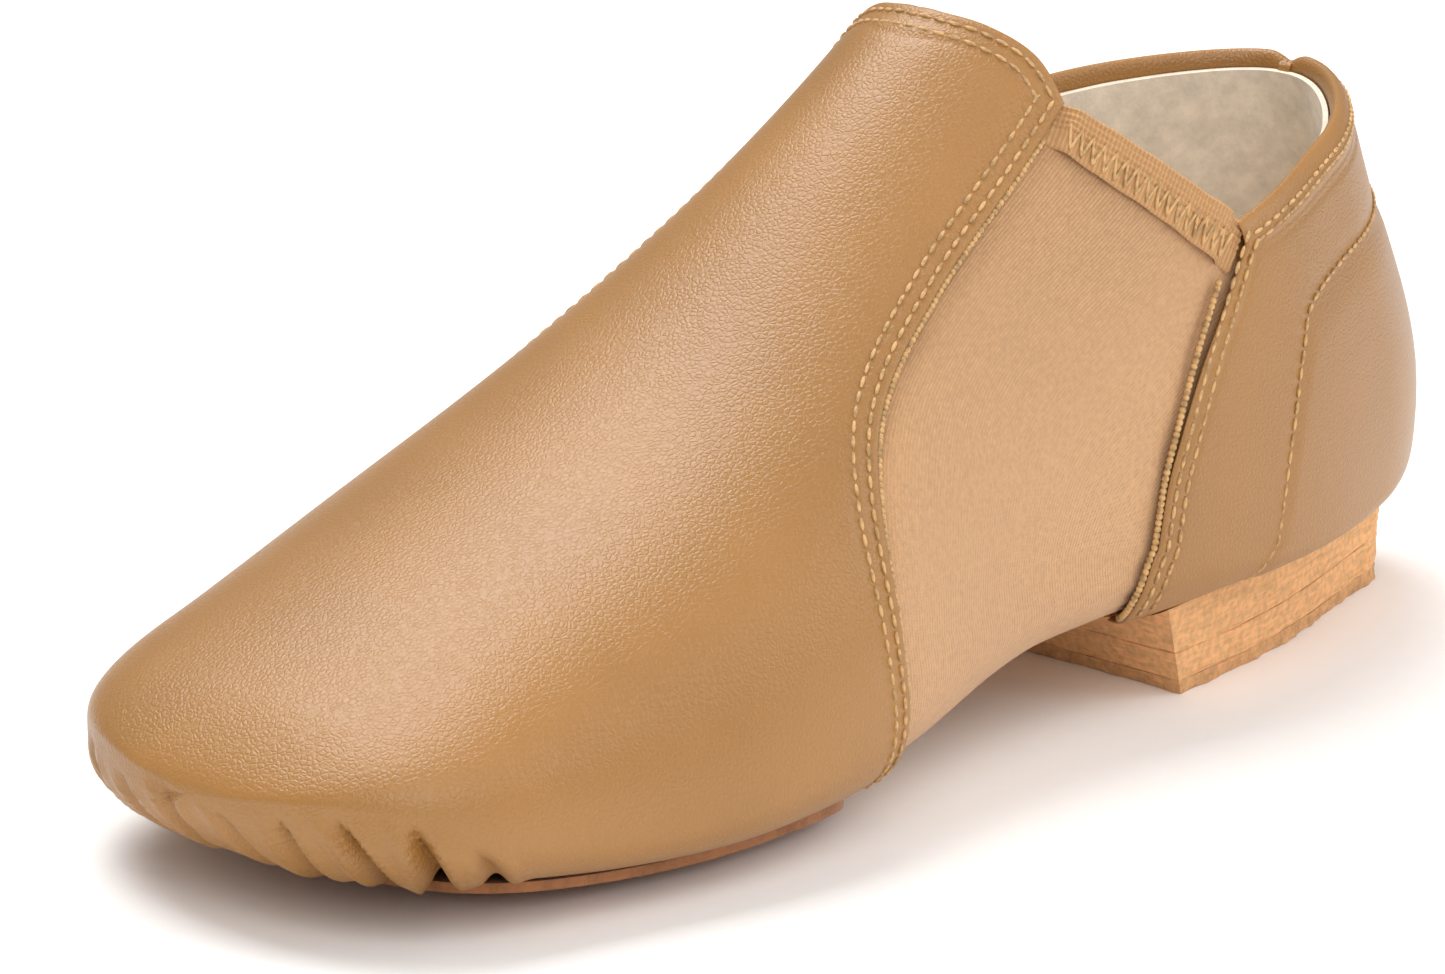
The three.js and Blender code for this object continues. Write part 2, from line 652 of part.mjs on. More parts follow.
// The heel's outline at height z: a straight breast, tapering sides and a round back.
function heelOutline(z) {
  const rise = z / HEEL_RAKE_HEIGHT;
  const front = HEEL_FRONT - HEEL_RAKE * rise;
  const sideLine = naturalSpline(HEEL_SIDE);
  const shoulder = HEEL_SIDE[HEEL_SIDE.length - 1];
  const points = [];
  for (const share of [0, 0.2, 0.4, 0.6, 0.8, 1]) {
    const s = THREE.MathUtils.lerp(front, shoulder[0], share);
    const flare = HEEL_FLARE * rise * (1 - 0.7 * share);
    points.push([s, sideLine(Math.max(s, HEEL_FRONT)) + flare]);
  }
  for (const angle of [22, 44, 66]) {
    const along = shoulder[0] + (HEEL_BACK - shoulder[0]) * Math.sin(angle * DEGREE);
    points.push([along, (shoulder[1] + 0.3 * HEEL_FLARE * rise) * Math.cos(angle * DEGREE) ** 0.8]);
  }
  const loop = points.map(([s, half]) => new THREE.Vector3(centreX(s) + half, s - LENGTH / 2, z));
  loop.push(new THREE.Vector3(centreX(HEEL_BACK), HEEL_BACK - LENGTH / 2, z));
  for (const [s, half] of points.reverse()) {
    loop.push(new THREE.Vector3(centreX(s) - half, s - LENGTH / 2, z));
  }
  return loop;
}

function heelSlice(low, high) {
  const loops = [heelOutline(low), heelOutline(high)];
  return loft(loops, loops[0].map((p) => new THREE.Vector2(p.x, p.y)));
}

// The rear of the last as one solid, a gap larger than the shoe's upper, for cutting the heel's seat.
function heelSeat() {
  const phis = [-90, -75, -62, -50, -40, -30, -20, -10, 0, 10];
  const rows = 16;
  const columns = 2 * (phis.length - 1);
  const place = (i, j, face) => {
    const s = 150 + (LENGTH - 150) * Math.sin(((i / rows) * Math.PI) / 2);
    const phi = phis[Math.abs(j - phis.length + 1)];
    const side = j >= phis.length - 1 ? 1 : -1;
    const point = onLast(s, phi, side, GAP);
    return face > 0 ? point : point.setZ(40);
  };
  return shell(rows, columns, place, [1, -1]);
}

function nailAt([s, across]) {
  const x = centreX(s) + across;
  return { x, y: s - LENGTH / 2, top: bottomAt(x, s) + HEEL_INSOLE[1] + GAP + NAIL_HEAD };
}

function nail(place) {
  const { x, y, top } = nailAt(place);
  const under = top - NAIL_HEAD;
  const profile = [
    [0, NAIL_TIP_Z], [NAIL_RADIUS, NAIL_TIP_Z + 2], [NAIL_RADIUS, under], [NAIL_HEAD_RADIUS, under],
    [NAIL_HEAD_RADIUS, top], [0, top],
  ];
  const lathe = new THREE.LatheGeometry(profile.map(([r, z]) => new THREE.Vector2(r, z)), 10);
  lathe.rotateX(Math.PI / 2).translate(x, y, 0);
  return plain(lathe);
}

function plain(geometry) {
  const at = geometry.getAttribute("position");
  const points = Array.from({ length: at.count }, (_, i) => new THREE.Vector3().fromBufferAttribute(at, i));
  const index = geometry.getIndex().array;
  const triangles = [];
  for (let i = 0; i < index.length; i += 3) {
    triangles.push([index[i], index[i + 1], index[i + 2]]);
  }
  return solid(points, triangles);
}

function nailHole(place, low) {
  const { x, y } = nailAt(place);
  const depth = 40 - low;
  const hole = new THREE.CylinderGeometry(NAIL_RADIUS + GAP, NAIL_RADIUS + GAP, depth, 8);
  hole.rotateX(Math.PI / 2).translate(x, y, low + depth / 2);
  return hole;
}

function padWell(place) {
  const { x, y } = nailAt(place);
  const well = new THREE.CylinderGeometry(NAIL_HEAD_RADIUS + GAP, NAIL_HEAD_RADIUS + GAP, 40, 8);
  well.rotateX(Math.PI / 2).translate(x, y, 20);
  return well;
}

function nailHoles(low) {
  return NAIL_PLACES.map((place) => nailHole(place, low));
}

function heelPieces() {
  const [first, second] = LIFT_JOINTS;
  const topPiece = heelSlice(0, first);
  const lowerLift = cut(heelSlice(first + GAP, second), ...nailHoles(NAIL_TIP_Z - GAP));
  const upperLift = cut(heelSlice(second + GAP, HEEL_TALLEST), heelSeat(), ...nailHoles(0));
  return { topPiece, lowerLift, upperLift };
}

// ---------------------------------------------------------------- threads and cords

// The place that lies inset inside a seam at its k-th place, square to the seam.
function besidePlace(places, k, inset) {
  const { s, phi, side } = places[k];
  const before = places[Math.max(0, k - 1)];
  const after = places[Math.min(places.length - 1, k + 1)];
  const along = lastPoint(after.s, after.phi, after.side).sub(lastPoint(before.s, before.phi, before.side));
  const inwards = new THREE.Vector3().crossVectors(lastNormal(s, phi, side), along).normalize();
  return stepOnLast(s, phi, side, inwards.multiplyScalar(inset));
}

// A row of points beside a seam, at a height above the leather.
function besideSeam(places, inset, height) {
  return places.map(({ side }, k) => {
    const moved = besidePlace(places, k, inset);
    return onLast(moved.s, moved.phi, side, height);
  });
}

// The place on the last that a small move in space leads to.
function stepOnLast(s, phi, side, move) {
  const { along, round } = lastTangents(s, phi, side);
  const aa = along.dot(along);
  const bb = round.dot(round);
  const ab = along.dot(round);
  const det = aa * bb - ab * ab;
  const stepS = (move.dot(along) * bb - move.dot(round) * ab) / det;
  const stepPhi = (move.dot(round) * aa - move.dot(along) * ab) / det;
  return { s: s + stepS, phi: phi + stepPhi };
}

// The vamp's whole rear edge, from under the foot on one side over the instep to the other side.
function vampEdgePlaces(steps) {
  const places = [];
  for (let i = 0; i <= 2 * steps; i += 1) {
    const side = i <= steps ? 1 : -1;
    const t = (i <= steps ? i : 2 * steps - i) / steps;
    const past = (t - VAMP_THREAD_CORNER) / (1 - VAMP_THREAD_CORNER);
    const edge = past < 0
      ? vampSideEdge(THREE.MathUtils.lerp(...VAMP_THREAD_SIDE, t / VAMP_THREAD_CORNER))
      : tongueEdge(THREE.MathUtils.lerp(...VAMP_THREAD_TONGUE, past));
    places.push({ ...edge, side });
  }
  return places;
}

function vampThread(row) {
  return tube(besideSeam(vampEdgePlaces(24), STITCH_ROWS[row], THREAD_HEIGHT), THREAD_RADIUS, 46);
}

function seamPlaces(curve, [from, to], steps, side) {
  const places = [];
  for (let i = 0; i <= steps; i += 1) {
    places.push({ ...curve(THREE.MathUtils.lerp(from, to, i / steps)), side });
  }
  return places;
}

function quarterThread(side, row) {
  const places = seamPlaces(quarterFront, QUARTER_THREAD_SPAN, 10, side);
  return tube(besideSeam(places, -side * STITCH_ROWS[row], THREAD_HEIGHT), THREAD_RADIUS, 14);
}

function vampCord(side) {
  const places = seamPlaces(vampSideEdge, VAMP_CORD_SPAN, 14, side);
  return tube(besideSeam(places, -side * CORD_OUT, CORD_HEIGHT), CORD_RADIUS, 18);
}

function quarterCord(side) {
  const places = seamPlaces(quarterFront, QUARTER_CORD_SPAN, 10, side);
  return tube(besideSeam(places, side * CORD_OUT, CORD_HEIGHT), CORD_RADIUS, 14);
}

// Places along the collar from the little-toe side round the back to the big-toe side.
function aroundBack(from, steps, spot) {
  const places = [];
  for (let i = 0; i <= 2 * steps; i += 1) {
    const side = i <= steps ? 1 : -1;
    const turn = ((i <= steps ? i : 2 * steps - i) / steps) * (Math.PI / 2);
    places.push({ ...spot(Math.min(from + (LENGTH - from) * Math.sin(turn), LENGTH - 0.02)), side });
  }
  return places;
}

function collarThread(row) {
  const places = aroundBack(COLLAR_THREAD_FROM, 11, (s) => ({ s, phi: collarPhi(s) }));
  return tube(besideSeam(places, -COLLAR_ROWS[row], THREAD_HEIGHT), THREAD_RADIUS, 30);
}

function counterThread() {
  const points = [];
  for (let i = 0; i <= 40; i += 1) {
    const side = i <= 20 ? 1 : -1;
    const turn = (1 - Math.abs(i - 20) / 20) * (Math.PI / 2);
    const { s, phi } = counterStitch(THREE.MathUtils.lerp(...COUNTER_THREAD_SPAN, Math.sin(turn)));
    points.push(onLast(s, phi, side, THREAD_HEIGHT));
  }
  return tube(points, THREAD_RADIUS, 40);
}

function bandZigzag(side) {
  const points = [];
  for (let i = 0; i <= ZIGZAG_COUNT; i += 1) {
    const along = THREE.MathUtils.lerp(...ZIGZAG_SPAN, i / ZIGZAG_COUNT);
    const rise = ZIGZAG_RISE[i % 2];
    const top = bandTop(along);
    const low = bandBottom(along);
    const s = THREE.MathUtils.lerp(low.s, top.s, rise);
    const phi = THREE.MathUtils.lerp(low.phi, top.phi, rise);
    points.push(onLast(s, phi, side, BAND_OUTER[0] + THREAD_HEIGHT));
  }
  return tube(points, THREAD_RADIUS, 2 * ZIGZAG_COUNT, 3);
}

// ---------------------------------------------------------------- materials and assembly

const MATERIALS = {
  leather: { color: 0xc0935a, roughness: 0.45 },
  lining: { color: 0xcbb7a4, roughness: 0.95 },
  neoprene: { color: 0xd8ab81, roughness: 0.9 },
  elastic: { color: 0xcf9f6e, roughness: 0.85 },
  thread: { color: 0xd9b98c, roughness: 0.7 },
  suede: { color: 0xa8683f, roughness: 0.95 },
  leatherboard: { color: 0xd6a574, roughness: 0.95 },
  board: { color: 0xb09a78, roughness: 0.9 },
  foam: { color: 0xe6dcc8, roughness: 1 },
  steel: { color: 0x9a9a98, roughness: 0.35, metalness: 0.9 },
};

const shoe = new THREE.Group();

function add(name, geometry, finish) {
  const mesh = new THREE.Mesh(geometry, new THREE.MeshStandardMaterial(MATERIALS[finish]));
  mesh.name = name;
  shoe.add(mesh);
}

const SIDES = [["lateral", 1], ["medial", -1]];
const heel = heelPieces();

add("vamp", vamp(), "leather");
add("vamp_lining", vampLining(), "lining");
add("arch_gore", archGore(), "neoprene");
for (const [name, side] of SIDES) {
  add(`quarter_${name}`, quarter(side), "leather");
  add(`elastic_band_${name}`, band(side), "elastic");
  add(`topline_tape_${name}`, toplineTape(side), "board");
  add(`quarter_thread_${name}_front`, quarterThread(side, 0), "thread");
  add(`quarter_thread_${name}_rear`, quarterThread(side, 1), "thread");
  add(`vamp_cord_${name}`, vampCord(side), "thread");
  add(`quarter_cord_${name}`, quarterCord(side), "thread");
  add(`band_zigzag_${name}`, bandZigzag(side), "thread");
}
add("quarter_lining", quarterLining(), "lining");
add("heel_counter", heelCounter(), "board");
add("back_seam_tape", backSeamTape(), "board");
add("vamp_thread_outer", vampThread(0), "thread");
add("vamp_thread_inner", vampThread(1), "thread");
add("collar_thread_upper", collarThread(0), "thread");
add("collar_thread_lower", collarThread(1), "thread");
add("counter_thread", counterThread(), "thread");
add("outsole_front", outsoleFront(), "suede");
add("bottom_filler", bottomFiller(), "board");
add("insole_front", insoleFront(), "board");
add("heel_filler", cut(heelBoard(HEEL_FILLER_EXTENT, HEEL_FILLER), ...nailHoles(0)), "board");
add("heel_insole", cut(heelBoard(HEEL_INSOLE_EXTENT, HEEL_INSOLE), ...nailHoles(0)), "board");
add("heel_pad", cut(heelBoard(HEEL_PAD_EXTENT, HEEL_PAD), ...NAIL_PLACES.map(padWell)), "foam");
add("sock_liner", sockLiner(), "lining");
add("heel_lift_upper", heel.upperLift, "leatherboard");
add("heel_lift_lower", heel.lowerLift, "leatherboard");
add("heel_top_piece", heel.topPiece, "suede");
NAIL_PLACES.forEach((place, i) => add(`heel_nail_${i + 1}`, nail(place), "steel"));

// The origin is under the middle of the shoe, on the surface that it stands on.
const box = new THREE.Box3().setFromObject(shoe);
const middle = box.getCenter(new THREE.Vector3());
shoe.position.set(-middle.x, -middle.y, -box.min.z);
shoe.updateMatrixWorld(true);

export default shoe;
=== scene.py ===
"""Slip-on split-sole dance shoe for a left foot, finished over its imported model.

Sizes are millimetres in the driving values and metres in the scene. +Z is up, the toe points along -Y and
the little-toe side is +X. Every leather and fabric layer follows one last, the foot form that the shoe is
built on. A place on the last is (s, phi, side): s runs back from the toe tip, phi turns from -90 at the
bottom middle over 0 at the widest line to 90 at the top middle, and side is +1 for the little-toe half.
"""

import math

import bpy
import numpy as np
from bpy.props import FloatProperty, FloatVectorProperty, IntProperty, PointerProperty
from mathutils import Matrix, Vector


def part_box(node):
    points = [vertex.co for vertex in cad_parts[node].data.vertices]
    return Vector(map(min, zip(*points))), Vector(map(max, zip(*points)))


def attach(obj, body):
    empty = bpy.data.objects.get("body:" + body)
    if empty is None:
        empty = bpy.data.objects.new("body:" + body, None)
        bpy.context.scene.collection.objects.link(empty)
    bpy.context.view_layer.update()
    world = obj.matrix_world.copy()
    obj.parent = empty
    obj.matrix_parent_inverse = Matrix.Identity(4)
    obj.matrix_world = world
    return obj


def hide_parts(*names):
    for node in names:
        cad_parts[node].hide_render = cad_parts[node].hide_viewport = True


bl_info = {
    "name": "Split-Sole Dance Shoe",
    "version": (1, 0, 0),
    "blender": (4, 5, 0),
    "location": "View3D > Sidebar > Shoe",
    "description": "Makes a slip-on leather dance shoe with a stretch arch and a stacked heel",
    "category": "Add Mesh",
}

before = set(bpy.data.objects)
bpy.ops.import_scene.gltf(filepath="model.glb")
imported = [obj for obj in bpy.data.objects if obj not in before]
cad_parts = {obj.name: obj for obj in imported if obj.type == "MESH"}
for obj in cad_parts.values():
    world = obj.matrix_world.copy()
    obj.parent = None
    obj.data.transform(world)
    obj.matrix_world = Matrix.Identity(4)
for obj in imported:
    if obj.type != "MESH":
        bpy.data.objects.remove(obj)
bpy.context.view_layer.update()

# ---------------------------------------------------------------- driving dimensions of the last, in mm

LENGTH = 245
TOE_REACH, HEEL_REACH = 28, 38.5
TIP_Z, TOE_TOP_REACH, TOE_SOLE_REACH = 18, 13.5, 12
LEAN_FROM, LEAN_OVER, LEAN_ROOT = 150, 60, 60
TOP_POWER, ROUND_POWER = 2.4, 2.2

HALF_WIDTH = [(0, 36), (30, 40), (60, 46), (90, 43.5), (120, 37), (150, 36.5), (185, 36), (245, 21)]
CENTRE_X = [(0, 0), (60, 0.5), (120, 4.5), (180, 5), (245, 0)]
TOP_Z = [(0, 23), (30, 37), (60, 49), (90, 66.5), (120, 90), (150, 113.5), (172, 130.5), (245, 124)]
BOTTOM_Z = [(0, 9.3), (30, 4.3), (75, 1.9), (105, 2.7), (130, 9), (155, 11.8), (180, 15.6), (245, 14.8)]
WIDEST_Z = [(0, 21.5), (60, 15), (120, 30.3), (180, 22.3), (245, 29.8)]
TAPER = [(0, 0), (60, 0), (120, 0.2), (180, 0.1), (245, 0.18)]
BACK_S = [(14, 242), (35, 244.7), (60, 235), (92, 225)]
BOTTOM_POWER = [(0, 2.8), (40, 3.1), (95, 3.1), (130, 2.7), (245, 2.7)]

# Seams, as (s, phi) places.
VAMP_SIDE_EDGE = [
    (96, -90), (92, -60), (90.5, -30), (89.5, -5), (88, 10), (88, 22), (90, 32), (94.5, 40.5),
    (101.5, 45), (113, 47), (126, 48.5), (135, 50.2), (142, 52),
]
TONGUE_EDGE = [(142, 52), (141.5, 60), (138.5, 71), (136.2, 81), (135.5, 90)]
BAND_TOP = [(142, 52), (147, 44.8), (153.5, 37.6), (161, 31.6), (169.6, 26.8)]
BAND_BOTTOM = [(138, 49.2), (143.2, 41.2), (150, 34), (157.3, 28), (164.2, 23.8)]
QUARTER_FRONT = [
    (152, -62), (147, -45), (145, -30), (145.5, -10), (148, 4), (151.5, 11), (157, 18), (164.2, 23.8),
    (169.6, 26.8),
]
ARCH_REAR = [
    (152, -90), (148, -50), (145, -30), (145.5, -10), (148, 4), (151.5, 11), (157, 18), (167.8, 26),
]
COLLAR_Z = [(168, 71), (200, 76.5), (245, 80.5)]
COUNTER_STITCH = [
    (170.5, -40), (171.2, -20), (172.5, -5), (174.8, 4), (178, 10), (182, 14.5), (188, 17.8), (209, 19.6),
    (245, 20.5),
]
PHI_MM = 0.7
MARGIN_PHI = -62
GORE_TUCK = 0.12
GORE_SAG = -12.8
VAMP_SHARE_AT_BAND = 0.965

# Depths of the layers' outer faces under the upper's surface, and the heights of the boards over its bottom.
VAMP_LINING_AT, TAPE_AT, GORE_AT, QUARTER_LINING_AT = -1.5, -1.5, -2.1, -3.4
BAND_OUTER_AT, BAND_INNER_AT = -0.2, -4.4
GAP = 0.3
OUTSOLE_THICKNESS = 1.7
SOCK_FRONT, SOCK_HEEL, SOCK_THICKNESS = 4.2, 9.1, 1.6
SOCK_RISES = (100, 165)
HEEL_PAD = (6.3, 8.8)

# Walls of the sheets, in metres.
VAMP_LINING_WALL, QUARTER_LINING_WALL, TAPE_WALL = 0.0006, 0.0008, 0.0004
GORE_WALL, BAND_WALL = 0.001, 0.0009

# How cloth and leather move where they are worked.
GORE_PUCKER, GORE_SWELL = 0.16, 0.5
BAND_SPAN = (-0.06, 1.05)
BAND_TUCK, BAND_RIB, BAND_SINK = -1.2, 0.16, -0.1
COLLAR_FLAP = 3
BACK_NOTCH = 1.6
COUNTER_PUFF, COUNTER_CREASE = 0.42, 0.2

# Boards along the bottom: first and last s, and the share of the bottom's half width.
OUTSOLE_EXTENT = (20, 98, 0.79)
SOCK_EXTENT = (16, 230, 0.66)
PAD_EXTENT = (170, 229, 0.56)

# Heel block.
HEEL_FRONT, HEEL_BACK = 166, 238
HEEL_SIDE = [(166, 25.5), (190, 23.3), (212, 19), (224, 16.2)]
HEEL_RAKE, HEEL_RAKE_HEIGHT, HEEL_FLARE = 5.4, 12.4, 2
LIFT_JOINTS = (2.2, 7)
HEEL_TALLEST = 24

# Rows of stitches, by their distance from the edge, and the shares of each seam that thread runs along.
STITCH_ROWS = (1.6, 3.8)
COLLAR_ROWS = (2.6, 3.8)
VAMP_STITCHES_FROM = 0.17
COLLAR_STITCHES_FROM, BACK_END = 171, LENGTH - 0.3
QUARTER_STITCH_SPAN = (0.2, 0.97)
VAMP_OVERLOCK_SPAN = (0.2, 0.965)
QUARTER_OVERLOCK_SPAN = (0.14, 0.9)
ZIGZAG_SPAN, ZIGZAG_RISE = (0.05, 0.95), (0.08, 0.62)
STITCH_SHARE, STITCH_FLAT = 0.86, 0.9
STITCH_SUNK, OVERLOCK_SUNK, OVERLOCK_INSET = -0.02, -0.9, 0.3
OVERLOCK_PITCH, OVERLOCK_LENGTH, OVERLOCK_RADIUS = 0.0009, 0.00115, 0.00052
SIDES = (("lateral", 1), ("medial", -1))
MM = 0.001


# ---------------------------------------------------------------- lines and the last


def spline(points):
    """A natural cubic spline through (place, size) points."""
    x, y = np.array(points, float).T
    step = np.diff(x)
    count = len(x)
    system, right = np.eye(count), np.zeros(count)
    for k in range(1, count - 1):
        system[k, k - 1 : k + 2] = step[k - 1], 2 * (step[k - 1] + step[k]), step[k]
        right[k] = 6 * ((y[k + 1] - y[k]) / step[k] - (y[k] - y[k - 1]) / step[k - 1])
    bend = np.linalg.solve(system, right)

    def at(place):
        t = np.clip(place, x[0], x[-1])
        k = np.clip(np.searchsorted(x, t, side="right") - 1, 0, count - 2)
        a = (x[k + 1] - t) / step[k]
        b = 1 - a
        curve = ((a**3 - a) * bend[k] + (b**3 - b) * bend[k + 1]) * step[k] ** 2 / 6
        return a * y[k] + b * y[k + 1] + curve

    return at


half_width_line, centre_x = spline(HALF_WIDTH), spline(CENTRE_X)
top_line, bottom_line, widest_line = spline(TOP_Z), spline(BOTTOM_Z), spline(WIDEST_Z)
taper_line, back_curve, collar_z = spline(TAPER), spline(BACK_S), spline(COLLAR_Z)
heel_side = spline(HEEL_SIDE)

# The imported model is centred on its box, so the last is moved to match it.
SHIFT = np.array((
    sum(corner.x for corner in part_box("heel_top_piece")) / 2 / MM - float(centre_x(HEEL_FRONT)),
    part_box("vamp")[0].y / MM,
    0,
))


def rounding(distance, reach, power):
    """A quarter of a superellipse: 0 at the tip, 1 once the distance from it passes reach."""
    left = np.clip(1 - distance / reach, 0, 1)
    return (1 - left**power) ** (1 / power)


def smooth(value, low, high):
    share = np.clip((value - low) / (high - low), 0, 1)
    return share * share * (3 - 2 * share)


def bottom_power(s):
    return np.interp(s, *np.array(BOTTOM_POWER, float).T)


def section(s):
    """Top, bottom and widest heights and the half width of the last's cross-section at s."""
    toe_top = rounding(s, TOE_TOP_REACH, ROUND_POWER)
    top = TIP_Z + (top_line(s) - TIP_Z) * toe_top
    bottom = TIP_Z + (bottom_line(s) - TIP_Z) * rounding(s, TOE_SOLE_REACH, 2)
    widest = np.clip(TIP_Z + (widest_line(s) - TIP_Z) * toe_top, bottom, top)
    ends = rounding(s, TOE_REACH, ROUND_POWER) * rounding(LENGTH - s, HEEL_REACH, ROUND_POWER)
    return top, bottom, widest, half_width_line(s) * ends


def lean(s, z):
    """The upper leans: each height is drawn towards its own place on the back curve."""
    stretch = (back_curve(np.clip(z, 0, 110)) - LEAN_ROOT) / (LENGTH - LEAN_ROOT) - 1
    leant = LEAN_ROOT + (s - LEAN_ROOT) * (1 + stretch * smooth(s, LEAN_FROM, LEAN_FROM + LEAN_OVER))
    return np.where(s > LEAN_ROOT, leant, s)


def last_point(s, phi, side):
    top, bottom, widest, width = section(s)
    rise = np.sin(np.radians(phi))
    a = np.clip(np.abs(rise), 0, 1)
    power = bottom_power(s)
    above = np.sqrt(np.clip(1 - a**TOP_POWER, 0, 1)) * (1 - taper_line(s) * a**TOP_POWER)
    below = np.clip(1 - a**power, 0, 1) ** (1 / power)
    z = widest + np.where(rise > 0, top - widest, widest - bottom) * rise
    x = width * np.where(rise > 0, above, below)
    return np.stack((side * x + centre_x(s), lean(s, z), z), axis=-1)


def last_normal(s, phi, side):
    at, turn = np.clip(s, 0.1, LENGTH - 0.1), np.clip(phi, -88.5, 88.5)
    along = last_point(at + 0.05, turn, side) - last_point(at - 0.05, turn, side)
    around = last_point(at, turn + 0.2, side) - last_point(at, turn - 0.2, side)
    normal = np.cross(along, around) * np.asarray(side)[..., None]
    middle = (np.abs(phi) > 89.9) | (s > LENGTH - 0.05)
    normal[..., 0] = np.where(middle, 0, normal[..., 0])
    normal = np.where((s < 0.05)[..., None], (0, -1, 0), normal)
    return normal / np.linalg.norm(normal, axis=-1, keepdims=True)


def on_last(s, phi, side, offset=0.0):
    """Points in metres in the shoe's frame, moved outwards from the last's surface by offset mm."""
    s, phi, side, offset = np.broadcast_arrays(*(np.asarray(v, float) for v in (s, phi, side, offset)))
    return (last_point(s, phi, side) + last_normal(s, phi, side) * offset[..., None] + SHIFT) * MM


def bottom_at(x, s):
    """Height of the last's bottom at x and s, in mm, x measured from the last's own middle plane."""
    _, bottom, widest, width = section(s)
    share = np.clip(np.abs(x - centre_x(s)) / np.maximum(width, 0.01), 0, 1)
    power = bottom_power(s)
    return widest - (widest - bottom) * (1 - share**power) ** (1 / power)


def seam(points):
    """A smooth seam through (s, phi) places, read by the share of its length."""
    knots = np.array(points, float) * (1, PHI_MM)
    ends = np.vstack((knots[:1], knots, knots[-1:]))
    t = np.linspace(0, 1, 30, endpoint=False)[:, None]
    runs = []
    for a, b, c, d in zip(ends, ends[1:], ends[2:], ends[3:]):
        u, v = (c - a) / 2, (d - b) / 2
        runs.append((2 * b - 2 * c + u + v) * t**3 + (3 * c - 3 * b - 2 * u - v) * t**2 + u * t + b)
    line = np.vstack([*runs, knots[-1:]])
    length = np.concatenate(([0], np.cumsum(np.hypot(*np.diff(line, axis=0).T))))
    length /= length[-1]

    def at(share):
        return np.interp(share, length, line[:, 0]), np.interp(share, length, line[:, 1]) / PHI_MM

    return at


vamp_side_edge, tongue_edge = seam(VAMP_SIDE_EDGE), seam(TONGUE_EDGE)
band_top, band_bottom = seam(BAND_TOP), seam(BAND_BOTTOM)
quarter_front, arch_rear = seam(QUARTER_FRONT), seam(ARCH_REAR)
counter_stitch = seam(COUNTER_STITCH)


def collar_phi(s):
    top, _, widest, _ = section(s)
    return np.degrees(np.arcsin(np.clip((collar_z(s) - widest) / (top - widest), -1, 1)))


def mix(a, b, share):
    return a + (b - a) * share


def crowded(count, strength=0.9):
    """Shares from 0 to 1, closer together towards both ends."""
    t = np.linspace(0, 1, count)
    return t - strength * np.sin(2 * math.pi * t) / (2 * math.pi)


def wander(place, seed, waves=7, longest=1.0):
    """A smooth, repeatable wobble between about -1 and 1 along place."""
    rng = np.random.default_rng(seed)
    total = 0.0
    for k in range(waves):
        total = total + np.sin(place * 2 * math.pi * (k + 1) / longest * rng.uniform(0.8, 1.2)
                               + rng.uniform(0, 2 * math.pi)) / (k + 1) ** 0.7
    return total / 2.6


# ---------------------------------------------------------------- making and finishing pieces


def deselect():
    bpy.ops.object.select_all(action="DESELECT")


def measured(grid, axis):
    """Distance in mm along one axis of a grid of points, from its first line."""
    step = np.linalg.norm(np.diff(grid, axis=axis), axis=-1) / MM
    first = np.zeros_like(np.take(step, [0], axis=axis))
    return np.cumsum(np.concatenate((first, step), axis=axis), axis=axis)


def grid_piece(name, points):
    """A mesh grid moved on to rows and columns of points, with doubles merged.

    Its UV map holds the distances along the columns and rows in metres, for cloth patterns.
    """
    rows, columns, _ = points.shape
    deselect()
    bpy.ops.mesh.primitive_grid_add(x_subdivisions=columns - 1, y_subdivisions=rows - 1, size=1)
    piece = bpy.context.object
    piece.name = piece.data.name = name
    piece.data.vertices.foreach_set("co", points.reshape(-1))
    across, along = measured(points, 1) * MM, measured(points, 0) * MM
    corner = np.empty(len(piece.data.loops), int)
    piece.data.loops.foreach_get("vertex_index", corner)
    laid = np.stack((across.reshape(-1)[corner], along.reshape(-1)[corner]), axis=-1)
    piece.data.uv_layers[0].data.foreach_set("uv", laid.reshape(-1))
    piece.data.update()
    bpy.ops.object.mode_set(mode="EDIT")
    bpy.ops.mesh.select_all(action="SELECT")
    bpy.ops.mesh.remove_doubles(threshold=2e-6)
    bpy.ops.object.mode_set(mode="OBJECT")
    return piece


def face_away(piece, outward, count=math.inf):
    """Turns a sheet's faces over if those of its first count vertices look inwards.

    outward gives the outward direction at each face's centre.
    """
    judged = [p for p in piece.data.polygons if max(p.vertices) < count]
    normals, centres = np.array([p.normal for p in judged]), np.array([p.center for p in judged])
    if (normals * outward(centres)).sum() < 0:
        piece.data.flip_normals()


def from_core(centres):
    """Directions away from the shoe's long middle line."""
    spine = np.stack((np.full(len(centres), SHIFT[0] * MM), centres[:, 1] * 0.9,
                      np.interp(centres[:, 1], (-0.11, 0.03, 0.12), (0.018, 0.04, 0.045))), axis=-1)
    return centres - spine


def apply_modifiers(piece):
    deselect()
    piece.select_set(True)
    bpy.context.view_layer.objects.active = piece
    for modifier in list(piece.modifiers):
        bpy.ops.object.modifier_apply(modifier=modifier.name)


def give_wall(piece, thickness):
    """Thickens a sheet inwards, in metres."""
    wall = piece.modifiers.new("wall", "SOLIDIFY")
    wall.thickness = thickness
    wall.offset = -1
    apply_modifiers(piece)


def finish_piece(piece, finish, slot, *nodes, angle=50):
    """Smooths a piece, gives it its material, and stands it for its nodes of the model."""
    deselect()
    piece.select_set(True)
    bpy.context.view_layer.objects.active = piece
    bpy.ops.object.shade_smooth_by_angle(angle=math.radians(angle))
    piece.data.materials.clear()
    piece.data.materials.append(finish)
    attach(piece, "root")
    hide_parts(*nodes)
    return piece


